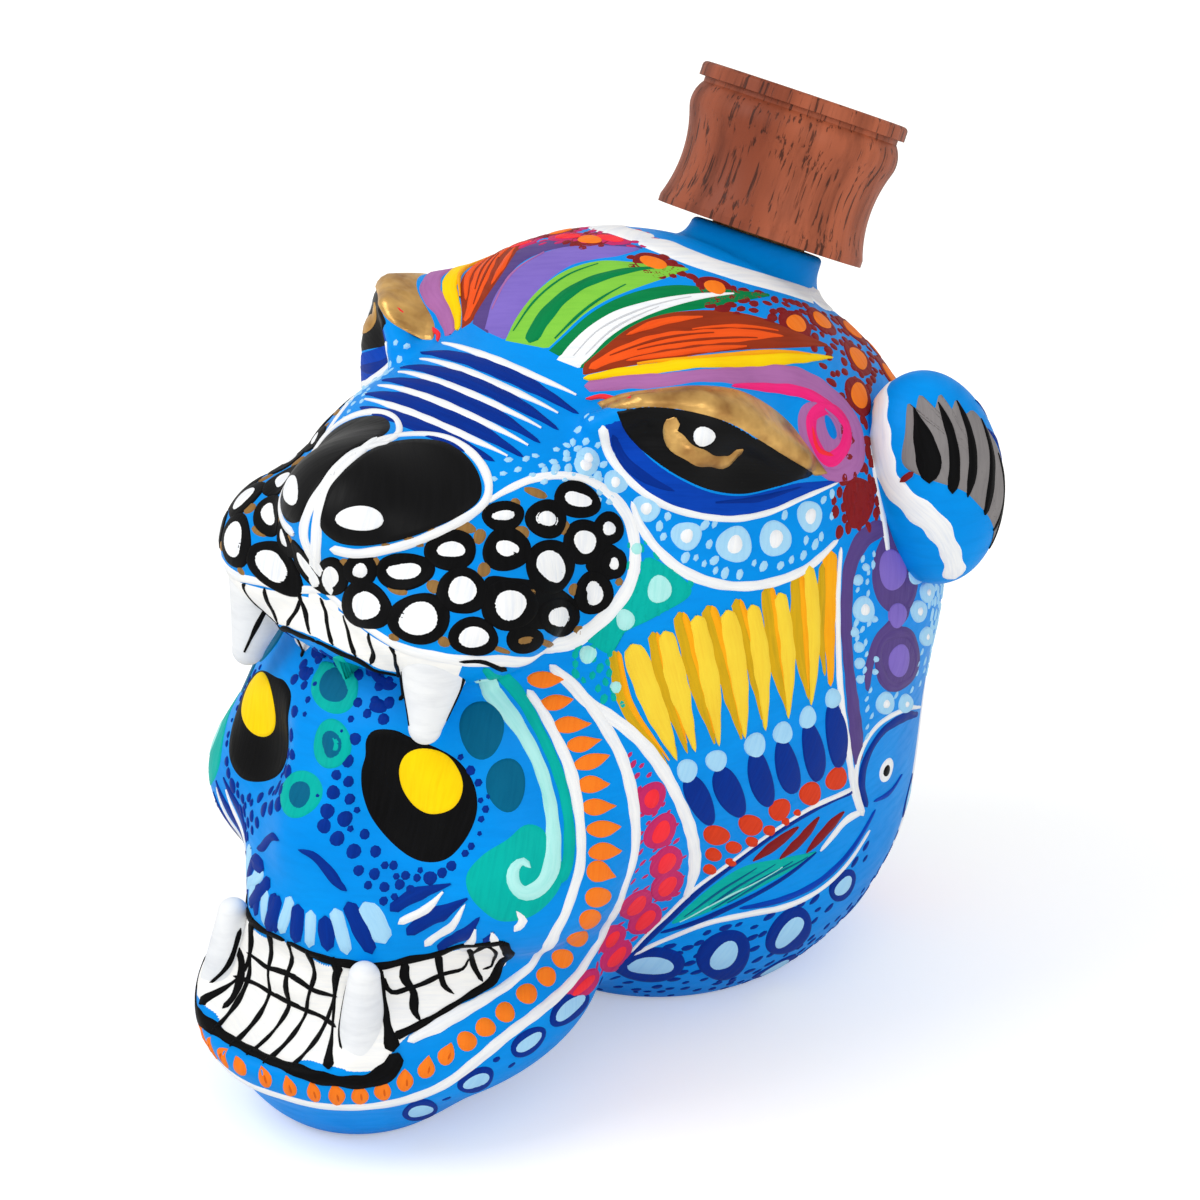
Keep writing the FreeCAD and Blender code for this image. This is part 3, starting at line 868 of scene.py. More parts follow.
def scatter(
    paint, colour, chart, outline, gap, size, turn=0, layer=1, avoid=(), mirror=True, seed=1, stretch=1.5
):
    """Small dabs all over an area, at least gap apart. avoid lists (spot, radius) to leave free."""
    chance = np.random.default_rng(seed)
    corners = np.array(outline)
    low, high = corners.min(0), corners.max(0)
    kept = []
    for spot in chance.uniform(low, high, (int(12 * np.prod(high - low) / gap**2), 2)):
        free = all(math.dist(spot, other) > gap for other in kept)
        free = free and all(math.dist(spot, middle) > radius for middle, radius in avoid)
        if free and inside(outline, spot):
            kept.append(tuple(spot))
            width = size * chance.uniform(0.75, 1.15)
            lean = turn + chance.uniform(-25, 25)
            oval(paint, colour, chart, spot, width * stretch, width, lean, layer, mirror)


# ---------------------------------------------------------------- decoration


def paint_side_feathers(paint, angled):
    """Rows on the cheek: yellow feathers, pale dots, navy quills and red drops."""
    shade = [
        ((9.6, -2), (12, -12), (20, -24), 3), ((16.6, 1.4), (19, -8), (23.2, -20.8), 3.4),
        ((21.4, 5), (24.6, -6), (28.2, -19), 4.2),
        ((26.6, 6.2), (30, -5), (33.2, -18.2), 4.6), ((31.8, 7.4), (35.2, -4), (37, -14.6), 3.8),
        ((37.6, 9.8), (39.6, -3), (41.8, -13.4), 4.4), ((43.2, 12), (44.2, -1), (45.8, -11), 4.6),
    ]
    for top, middle, tip, width in shade:
        paint.ribbon("ochre", angled(top, middle, tip), (width * 0.7, width, width * 0.8, 0.4), 1)
        bright = [(top[0] + 0.8, top[1]), (middle[0] + 0.9, middle[1]), (tip[0] - 0.2, tip[1] + 2)]
        paint.ribbon("amber", angled(*bright), (width * 0.3, width * 0.45, width * 0.3, 0.3), 2)
    paint.ribbon("amber", angled((49.6, 16.4), (49.4, 4), (50, -8.6)), (4.6, 4.4, 3, 1.4), 1)
    paint.ribbon("ochre", angled((48, 14), (47.8, 2), (48.8, -6.6)), (1.6, 2.4, 2, 0.6), 2)
    straw = [
        ((12.8, -0.8), (16.2, -10), (21.2, -22), 4.8), ((18.8, 1.6), (21.2, -8), (24.6, -20.4), 4.2),
        ((24.6, 4.4), (26.9, -6), (29, -19.4), 4.2),
        ((30.2, 5.4), (32.4, -6), (33.8, -18), 4.4), ((34.8, 6.4), (36.8, -5), (37.6, -16.6), 4),
        ((39.9, 8.6), (41.6, -2), (41.9, -14.4), 3.8), ((45.4, 13.6), (46.6, 0), (46.2, -12), 3.8),
    ]
    for top, middle, tip, width in straw:
        paint.ribbon(
            "straw", angled(top, middle, tip), (width * 0.8, width, width, width * 0.6, 0.5), 3, lift=0.15
        )
        paint.ribbon(
            "ochre",
            angled(((middle[0] + tip[0]) / 2 + 0.4, (middle[1] + tip[1]) / 2 + 2), (tip[0], tip[1] + 1)),
            (0.2, 0.8, 0.4), 4
        )
    for u, v, width, height in (
        (23.2, -24, 4, 4.4), (28.6, -22.2, 4, 4.2), (35.8, -19.4, 4.2, 4.6), (41, -17.2, 3.7, 4.4),
        (45.7, -14.4, 3.3, 4.3), (50.5, -10.9, 3, 4)
    ):
        dab(paint, "pale_blue", angled, (u, v), width, height, 10, 5)
    quills = [
        ((23.8, -26), (27.4, -33), 4.6), ((29.4, -24.4), (33, -32), 5), ((35.8, -21.6), (38.4, -30), 4.6),
        ((41, -19.4), (43.2, -28), 4.4), ((46, -16.4), (48.2, -25.4), 4.3), ((50.8, -12.6), (52.3, -23), 4.3),
    ]
    for start, end, width in quills:
        lean = math.degrees(math.atan((end[0] - start[0]) / (end[1] - start[1])))
        middle = ((start[0] + end[0]) / 2, (start[1] + end[1]) / 2)
        dab(paint, "navy", angled, middle, width, math.dist(start, end) + 2.6, lean, 3, lift=0.25)
    dots = [
        (29, -36.4, 5.4, 3.8), (35.5, -34.6, 5, 4), (41, -31.8, 4.2, 4.5), (46.9, -28.9, 4.5, 4.6),
        (52, -26.2, 4.2, 4.8), (28.6, -40.2, 3.5, 2.6), (32.4, -38.9, 3.3, 2.5),
        (35.9, -37.9, 2.8, 2), (39.2, -35.8, 2.5, 2.2), (42.3, -34.2, 1.7, 1.6), (44.5, -32.5, 1.6, 1.4),
        (28, -43.1, 2.9, 2), (32, -41.8, 2.4, 1.6),
    ]
    for u, v, width, height in dots:
        dab(paint, "vermilion", angled, (u, v), width, height, 20, 3)


def paint_lines(paint, angled):
    """The long white lines that part the side into fields."""
    behind = (
        (-2, -4.5), (5, -11.3), (9, -14), (12.6, -16.6), (16, -20), (19.2, -24.6), (22, -30), (24, -35),
        (25, -40), (25, -44), (23.6, -48.8)
    )
    paint.ribbon("white", angled(*behind), (1.6, 2.2, 2.4, 2.6, 2.6, 2.4, 2.4, 2.6, 2.8, 2.4, 1.4), 3)
    paint.ribbon(
        "white",
        angled(
            (51.6, 17), (51.1, 8), (51.3, -1), (51.9, -9), (53, -16), (54.6, -23.4), (56, -29.4),
            (57.6, -33.4)
        ),
        (0.8, 1.2, 1.4, 1.6, 1.7, 1.6, 1.5), 4
    )
    inner = (
        (-6, -9), (-3.2, -13), (-0.6, -18), (1.6, -23), (3, -29), (3.7, -35), (3.6, -41), (2.5, -45),
        (1, -49.5), (-1.4, -54.4), (-4.6, -59), (-9, -63.2), (-15, -66.8), (-21, -69.8), (-28, -73.6)
    )
    paint.ribbon(
        "white", angled(*inner), (1.4, 2, 2.2, 2.4, 2.3, 2.2, 2.3, 2.6, 3, 2.8, 2.2, 2, 2, 2.4, 3.2, 1.4), 4
    )
    outer = (
        (-2, -4.6), (2, -7.6), (5.4, -11.8), (8.6, -16.6), (11, -21), (12.6, -26), (13.5, -31), (13.8, -37),
        (13, -42), (11.7, -46), (10, -51), (7.8, -56), (4.8, -60.6), (1, -65), (-4, -69), (-10, -73.2),
        (-16, -78), (-22, -82.2), (-29, -84.8), (-37, -86), (-45, -85.7), (-52, -84), (-58.6, -81.8)
    )
    paint.ribbon(
        "white", angled(*outer),
        (1.4, 2, 2.4, 2.4, 2.5, 2.4, 2.5, 2.4, 2.4, 2.2, 2.2, 2.4, 2.4, 2.6, 2.6, 2.6, 2.4, 2.2), 4
    )


def paint_petals(paint, angled):
    """Orange petals, one after the other, between the two white lines round the skull's face."""
    petals = [
        (-2.4, -7.2, 7.4, 3.3, 88), (-0.6, -11.3, 6.4, 3.2, 80), (2.1, -15.4, 7.2, 3.3, 86),
        (4.3, -18.8, 6.6, 3.1, 78), (5.8, -22, 7.2, 3.1, 72),
        (6, -26.3, 6.4, 3.4, 88), (7, -30.4, 6.6, 3.2, 88), (8, -34.4, 6.8, 3.3, 86),
        (8.2, -38.6, 6.6, 3.4, 90), (7.4, -42.4, 6, 4, 110),
    ]
    for u, v, length, width, turn in petals:
        dab(paint, "orange", angled, (u, v), width, length, turn, 2, lift=0.25, point=0.75)
        dab(paint, "copper", angled, (u - 0.4, v - 0.3), 0.7, length * 0.5, turn - 6, 3)
    rounds = [
        (6.8, -47, 4.8, 4, 0), (5.4, -51.3, 4.2, 4.2, 0), (3.2, -55.5, 4, 4, 0), (0.4, -59.4, 4.4, 3.6, 40),
        (-2.6, -62.6, 4, 3.6, 40), (-6.2, -65.6, 4.2, 3.7, 45),
        (-10.2, -68.8, 4, 3.6, 45), (-13.8, -71.4, 4, 3.5, 40), (-17.2, -73.8, 4, 3.6, 35),
    ]
    for u, v, width, height, turn in rounds:
        dab(paint, "orange", angled, (u, v), width, height, turn, 2, lift=0.25)
    drops = [
        (-20.8, -76, 20), (-24.5, -78.4, 10), (-28.5, -80.7, 0), (-32.6, -82.5, -4), (-36.8, -83.3, -6),
        (-41.1, -83.4, -10), (-45.3, -82.9, -12),
        (-49.8, -82, -14), (-54.4, -80.4, -16),
    ]
    for u, v, turn in drops:
        width = 3.3 if u > -45 else 2.6
        dab(paint, "orange", angled, (u, v), width, 4.6, turn, 2, point=0.7)
        dab(paint, "copper", angled, (u + 0.3, v - 0.4), 0.6, 2.2, turn, 3)
    dab(paint, "orange", angled, (-59.2, -78.6), 2.6, 4.2, -20, 2, mirror=False, point=0.7)


def paint_pink_field(paint, angled):
    """Coral ovals on rose dabs in the narrow field behind the skull."""
    field = [
        (12, -19.6), (13.6, -20), (16.4, -24), (19, -29.5), (21.6, -34), (23, -40), (22.8, -45), (21.4, -49),
        (19, -53.5), (15, -57.6), (11, -61.6), (6, -64.6), (1, -67), (4.6, -62.4), (8.6, -57.2),
        (11, -51.4), (13.2, -45), (14.6, -39), (14.8, -33), (13.8, -26),
    ]
    ovals = [
        (16.6, -29, 3, 4.2, 25), (18.4, -35.3, 3.2, 5.2, 32), (19.6, -41.3, 3.2, 4.8, 38),
        (19.9, -46, 3.2, 4.8, 40), (14.2, -49.7, 3, 5, 40),
        (16, -52.8, 2.9, 5.4, 42), (9.7, -56.5, 2.4, 4.2, 36), (10.6, -60.2, 2.6, 5.4, 42),
        (4.2, -64.9, 1.8, 5.6, 52),
    ]
    for u, v, width, height, turn in ovals:
        dab(paint, "rose", angled, (u, v), width + 2.2, height + 2.4, turn, 2)
        dab(paint, "coral", angled, (u, v), width, height, turn, 4, lift=0.25)
    free = [((u, v), 2.2) for u, v, *_ in ovals]
    scatter(paint, "rose", angled, field, 1.5, 1.2, 40, 1, free, seed=4, stretch=1.7)


def paint_leaf(paint, angled):
    """A long pointed leaf low on the side, with a striped half and dark red strokes."""
    upper = ((21, -53.6), (25, -49.4), (30, -45.2), (35, -42.4), (41, -41.4), (48, -40.4))
    lower = ((21, -54), (27, -52.2), (33, -49.6), (39, -46.6), (44, -43.8), (49, -40))
    paint.between("teal", angled, upper, lower, 1)
    for start, end in (
        ((23.4, -52.4), (37, -43)), ((26, -51.8), (40.6, -42.4)), ((28.6, -51), (44, -42)),
        ((31.6, -49.8), (47, -41.2))
    ):
        middle = ((start[0] + end[0]) / 2, (start[1] + end[1]) / 2 + 0.4)
        paint.ribbon("deep_teal", angled(start, middle, end), (0.3, 0.9, 0.8, 0.3), 2)
    paint.ribbon("mint", angled((22.6, -53.4), (31, -48.8), (42, -43)), (0.2, 0.6, 0.2), 3)
    for path in (
        ((36.2, -41.6), (40.4, -38.6), (44.8, -35.2)), ((41.4, -41.4), (45.6, -37.6), (48.8, -33.4)),
        ((46.6, -40.4), (50.6, -36), (53.8, -32.6))
    ):
        paint.ribbon("brick", angled(*path), (0.8, 3.2, 3.4, 0.8), 2, lift=0.2)
    paint.ribbon(
        "navy",
        angled(
            (14.2, -59.6), (19.6, -53.8), (25, -48.4), (30, -44.2), (36, -39.6), (41, -36), (46, -33),
            (51, -30.4), (55.6, -28.8)
        ),
        (1.4, 1.8, 1.6, 1.4, 1.2, 1.2, 1.4, 1.6, 1), 3
    )
    paint.ribbon(
        "white",
        angled(
            (13.4, -59.4), (18.8, -53.4), (24.4, -47.6), (30, -43.2), (36.4, -38.4), (42, -34.6),
            (48, -31.2), (55.4, -28.2)
        ),
        (0.5, 0.7, 0.9, 0.9, 0.8, 0.8, 1.2, 1.2), 4
    )
    paint.ribbon(
        "navy", angled((19, -55.6), (25, -53.8), (32, -50.8), (38, -47.8), (43, -44.8), (48.6, -40.4)),
        (0.8, 1.4, 1.5, 1.2, 1, 0.5), 3
    )
    paint.ribbon(
        "royal", angled((34, -51), (42, -49.6), (49, -46.6), (54.4, -42), (58, -37), (60.4, -32.6)),
        (0.8, 1.6, 1.9, 1.8, 1.5, 1), 3
    )
    paint.ribbon(
        "white",
        angled(
            (14, -60), (20, -57), (28, -53.8), (36, -52.2), (43, -51), (49.6, -48), (54.8, -43.4),
            (59.4, -36.6)
        ),
        (1, 1.2, 1.3, 1.7, 1.6, 1.2, 1, 0.6), 4
    )
    paint.ribbon(
        "white", angled((49.4, -40.2), (51.6, -37.6), (54.4, -34.4), (58, -32.6)), (0.8, 1.9, 2, 1.2), 4
    )


def paint_underside(paint, side, angled):
    """Pale ovals with navy rims among small navy dabs, all along the lowest band."""
    seen = [
        (17.2, -62.3, 10.2, 4.2, 0, 1.7), (31.4, -60.6, 5.6, 7.2, 38, 2.1), (44, -56.2, 4.4, 7.8, 38, 1.7),
        (1.6, -68.8, 3, 7, 52, 1), (-6, -74.6, 2.6, 6, 55, 0.9),
        (-15.6, -81.4, 2.8, 5.6, 66, 0.9), (-26, -87.2, 3, 5, 75, 0.9), (54.4, -47.4, 3, 5, 35, 1),
    ]
    for u, v, width, height, turn, border in seen:
        ring_dab(paint, "navy", "pale_blue", angled, (u, v), width, height, turn, 2, border)
    free = [((u, v), 5) for u, v, *_ in seen]
    back = [
        (13, -61), (28, -55.4), (40, -52.6), (50, -49.4), (57, -42), (60, -38), (58, -46), (50, -54),
        (44, -62), (34, -66.6), (20, -68.6), (8, -68.6), (6, -65.6)
    ]
    scatter(paint, "navy", angled, back, 2.1, 1.8, 40, 1, free, seed=7)
    ahead = [(4, -66), (0, -72), (-8, -78.6), (-18, -85), (-30, -89.6), (-16, -80.4), (-8, -74.6), (-1, -69)]
    scatter(paint, "navy", angled, ahead, 2, 1.7, 60, 1, free, seed=8)
    for spot, length, width in (((59, 33), 7, 6), ((66, 42), 5, 5), ((48, 12), 7, 6), ((26, 6), 7, 7)):
        ringed(paint, "navy", "pale_blue", side, spot, length, width, -20, 2, 1.4)
    rest = [(44, 20), (58, 28), (72, 46), (64, 24), (46, 6), (20, 2), (-4, 3), (20, 10)]
    scatter(paint, "navy", side, rest, 2.4, 1.6, 20, 1, [((59, 33), 5), ((48, 12), 5), ((26, 6), 5)], seed=9)


def paint_scroll(paint, side, angled):
    """Purple scrolls behind the feathers, with ringed pale dots between them."""
    outer = (
        (63.4, 19), (59.6, 20.6), (55.8, 18.2), (53.5, 13.4), (52.9, 7.6), (53, 0.4), (53.8, -7),
        (55, -14.4), (56.5, -23.4)
    )
    paint.ribbon("purple", angled(*outer), (2.6, 3.8, 4.2, 3.6, 3, 3, 3.4, 4.2, 2.2), 2)
    paint.ribbon("purple", angled((62, 19.4), (66, 15), (66.4, 9), (63.6, 4.4)), (2.4, 3.2, 3.4, 3), 2)
    paint.ribbon(
        "purple", angled((65.6, 6), (62.4, 2.6), (59.2, -0.4), (57.6, -5), (57.4, -9.6)),
        (3, 4.4, 4, 3, 1.2), 2
    )
    dab(paint, "purple", angled, (62.4, 12.4), 9, 16, 0, 1)
    dab(paint, "purple", angled, (63.6, -3.8), 9.6, 12.4, 0, 1)
    dab(paint, "lilac", angled, (61.8, 13), 5.8, 8, 0, 4, lift=0.3)
    dab(paint, "lilac", angled, (63, 4.6), 3.8, 5, 0, 4, lift=0.3)
    paint.ribbon(
        "purple",
        angled((63.4, 1.2), (60, -0.6), (59.6, -5), (62.4, -8.8), (66.4, -7.4), (67.6, -3.4), (66, 0.6)),
        2.3, 3, closed=True
    )
    dab(paint, "lilac", angled, (63.6, -3.9), 4.6, 6.6, 0, 4, lift=0.3)
    rings = (
        (56.2, 5.6, 4.4, 5.4), (66.8, 12.4, 3.4, 4), (67.6, 5.4, 3, 4), (61.2, -12, 3.6, 4.2),
        (65.8, -12.2, 2.4, 3), (69.4, 9, 2.4, 3.4), (69.6, 0.6, 2, 3)
    )
    for u, v, width, height in rings:
        ring_dab(paint, "pale_blue", "white", angled, (u, v), width * 0.5, height * 0.5, 0, 5, 1.1)
    for u, v, size in (
        (54.4, 1.4, 2), (55.4, -1.4, 2.2), (55.6, -4.4, 2.2), (55.8, -7.4, 1.7), (55, 11, 2.2),
        (56.6, 13.4, 1.6), (58.4, 3.8, 1.4), (58.8, -3.6, 1.4), (58.8, -6, 1.3)
    ):
        dab(paint, "pale_blue", angled, (u, v), size, size, 0, 4)
    field = [
        (56, 16), (58.4, 16), (58, 9), (57.6, 3), (56.6, -9), (58, -9.4), (60, -12), (64, -14), (68, -12),
        (70, -6), (69.6, 4), (71, 12), (68, 18), (66, 19), (69, 10), (69, 0), (66.6, -10), (60.6, -9.8),
        (58.6, -14), (58, -20), (56.8, -12), (54.6, 2), (55, 12)
    ]
    scatter(
        paint, "pale_blue", angled, field, 1.7, 1.3, 20, 3, [((u, v), 2.6) for u, v, *_ in rings], seed=11
    )
    beyond = [(48, 90), (60, 96), (70, 92), (76, 80), (70, 66), (60, 60), (56, 70), (50, 80)]
    scatter(paint, "pale_blue", side, beyond, 2.2, 1.7, 20, 3, seed=12)


def paint_eye(paint, angled):
    """A black almond with a gold iris under a gold lid, a navy hollow and a band of pale dots below."""
    rim = (
        (7.6, 38.6), (8.8, 33.6), (12.4, 28.8), (17.4, 25), (23.4, 22.8), (31, 21.9), (38, 23.2),
        (44.4, 26), (51, 28.9)
    )
    inner = (
        (12, 40), (13, 36.6), (16.4, 32.6), (21, 29.4), (27, 26.8), (33, 26.2), (38.4, 27.4), (43, 28.6),
        (51, 29.4)
    )
    paint.between("royal", angled, rim, inner, 1)
    paint.ribbon("navy", angled((9.4, 37), (11, 33), (15, 29.4), (20.6, 26.8)), (1, 2.6, 2.4, 0.5), 2)
    paint.ribbon("navy", angled((28, 24.8), (36, 25.6), (44, 28)), (0.4, 1.4, 0.4), 2)
    paint.ribbon("white", angled(*rim), (1.9, 1.7, 1.6, 1.5, 1.4, 1.3, 1.2, 1, 0.4), 3)
    above = ((10, 41), (15, 42), (20, 42), (26, 41), (31, 39.4), (36, 36.6), (41, 33.6), (46.6, 30.4))
    below = (
        (11, 38.6), (12.6, 36), (16.4, 32.4), (21, 29.2), (27, 26.8), (33, 26.2), (39, 27.6), (45.6, 29.8)
    )
    paint.between("wet_black", angled, above, below, 3)
    paint.ribbon(
        "gold", angled((20.6, 40), (19.8, 37.2), (22, 34.4), (26, 32.5), (30, 32.3), (33, 34.6)),
        (4, 4, 3.4, 2.8, 3, 2.6), 4, wobble=0.12, lift=0.2
    )
    oval(paint, "white", angled, (25.8, 36.5), 4, 4.6, 0, 5, lift=0.2)
    lid_top = (
        (6.6, 42.9), (11, 44.6), (17, 45.4), (25, 46), (32, 45.4), (37.6, 43), (42, 39.6), (45.4, 35.4),
        (49.4, 30.2)
    )
    lid_edge = (
        (7.6, 41.8), (11.6, 41.4), (16, 41.7), (21, 41.3), (26, 40.2), (31, 38.6), (36, 35.9), (41, 33),
        (46.6, 30)
    )
    paint.between("gold", angled, lid_top, lid_edge, 4, lift=0.3)
    paint.ribbon("coral", angled((4.6, 43.6), (8.6, 43.9), (14, 43.4)), (0.6, 1.5, 0.4), 6)
    band = [
        ((22.8, 18.8), 5.6), ((31.6, 17.3), 7), ((39.2, 18.4), 6.8), ((45.7, 22.6), 6), ((5, 32.7), 4.4),
        ((9.9, 28.4), 4.4), ((15.5, 23.7), 5)
    ]
    for spot, size in band:
        oval(paint, "pale_blue", angled, spot, size, size * 1.05, 20, 3)
        oval(paint, "white", angled, spot, size * 0.56, size * 0.5, 20, 4, lift=0.2)
    field = [
        (18, 23.4), (24, 21.4), (31, 20.6), (38, 21.6), (44, 24.4), (50, 27.6), (50, 22), (46, 16),
        (40, 12.8), (32, 11.6), (25, 13), (19, 17.6), (15.6, 22)
    ]
    free = [(spot, size * 0.66) for spot, size in band]
    scatter(paint, "pale_blue", angled, field, 1.8, 1.5, 30, 2, free, seed=15)
    scatter(
        paint, "pale_blue", angled, [(-4, 30.4), (4, 30), (9, 25), (12, 29), (7, 37), (3, 37.6), (0, 34)],
        2, 1.6, 30, 2, free, seed=16
    )
    curve = angled(
        (12.8, 25), (14.8, 20), (18, 15.8), (22.4, 12.3), (28, 10.2), (34, 9.7), (40, 10.8), (45.6, 13.4),
        (51, 18.4)
    )
    paint.ribbon("white", curve, (0.8, 1.8, 2, 2, 1.9, 1.8, 1.8, 1.7, 0.8), 4)


def paint_temple(paint, angled):
    """A pink curl in a mauve loop at the eye's outer corner, and a dark red flower under it."""
    loop = (
        (4.4, 46), (12, 46.8), (20, 47.1), (30, 47.9), (38, 48.4), (45, 47.4), (50, 45), (54, 41),
        (55.4, 36), (54.4, 32), (51, 30.2), (47.4, 31)
    )
    paint.ribbon("mauve", angled(*loop), (2.4, 3.6, 4, 4.2, 4.8, 5.4, 5.4, 5, 4.6, 4.2, 3.4, 1.4), 3)
    paint.blob(
        "mauve",
        angled((43.4, 40), (45, 43.4), (50, 43.6), (54, 40), (55, 35), (53, 30.8), (48, 31), (45, 35)), 2
    )
    paint.ribbon(
        "hot_pink", angled((31, 45.9), (38, 46), (44, 45.5), (49, 43.4), (52.6, 40.4)),
        (0.6, 2, 2.4, 2.4, 1.8), 4
    )
    paint.ribbon(
        "hot_pink", angled((46.2, 41), (49.6, 42.6), (52.7, 39.6), (52.2, 35.4), (49, 33), (46.3, 36.6)),
        (2.8, 3, 3.2, 3.2, 3.4, 3), 4, closed=True
    )
    paint.ribbon("coral", angled((46, 39), (47, 35), (50, 33.8)), (0.5, 1.4, 0.5), 5)
    paint.ribbon("mauve", angled((48.4, 42.4), (51, 40), (51.4, 37)), (0.3, 0.9, 0.3), 6)
    oval(paint, "sky", angled, (49.6, 39), 5.4, 2.8, -18, 5)
    paint.blob(
        "brick",
        angled((52, 27), (54, 30), (57.6, 29), (58.4, 25.6), (56.6, 21.4), (53.6, 20.6), (52.4, 24)), 2
    )
    scatter(
        paint, "brick", angled, [(50, 28), (54, 31.6), (59.6, 30), (61, 25), (57, 20), (51, 19.6)], 1.7, 2,
        0, 3, seed=18, stretch=1.3
    )
    scatter(
        paint, "brick", angled, [(55.6, 31), (58, 31), (59, 38), (58.4, 44), (56, 42), (56.6, 36)], 1.9, 2,
        0, 3, seed=19, stretch=1.6
    )


def paint_cheek_patch(paint, side):
    """A teal patch between the muzzle and the feathers, with mint dots."""
    field = [
        (-19, 119), (-16, 112), (-12, 107), (-20, 103.5), (-27, 100), (-29, 92), (-27, 86), (-32, 90),
        (-35, 96), (-30, 102), (-24, 108), (-21, 113)
    ]
    paint.blob(
        "teal",
        side(
            (-18, 113), (-13, 106.5), (-20, 103), (-26, 100.5), (-28.5, 97), (-31, 101), (-26, 106),
            (-21, 110)
        ),
        1
    )
    scatter(paint, "teal", side, field, 1.5, 1.4, 0, 1, seed=21)
    for spot, size in (
        ((-18.4, 107.5), 5.4), ((-25, 103), 4.2), ((-31.5, 97.3), 3.6), ((-28.5, 91), 2.6),
        ((-19.5, 114.5), 2.6)
    ):
        oval(paint, "mint", side, spot, size, size * 0.9, 0, 3, lift=0.2)


def paint_forehead(paint, top):
    """White and navy strokes across the nose bridge, and pale dots beside them."""
    for y, half in ((-15.6, 17), (-21, 17.5), (-26, 18), (-30.5, 19), (-34.8, 18)):
        paint.ribbon(
            "white",
            top((-half, y + 1.6), (-half / 2, y - 0.4), (0, y - 1.2), (half / 2, y - 0.6), (half, y + 1.6)),
            (0.4, 1.5, 1.9, 1.7, 0.3), 3, mirror=False
        )
    for y, half in ((-18.4, 20), (-23.8, 20), (-28.6, 20), (-33, 20), (-37.4, 17)):
        paint.ribbon(
            "navy", top((-half, y + 1.8), (-half / 2, y), (0, y - 0.6), (half / 2, y), (half, y + 1.8)),
            (0.6, 3.2, 4, 3.5, 0.6), 2, mirror=False
        )
    field = [(22, -17), (28, -20), (33, -21), (30, -26), (24, -32), (19, -38), (18, -35), (21, -26)]
    scatter(paint, "pale_blue", top, field, 1.8, 1.35, 20, 2, seed=24)
    ringed(paint, "pale_blue", "white", top, (26.7, -22), 3, 2.6, 0, 3, 0.9)


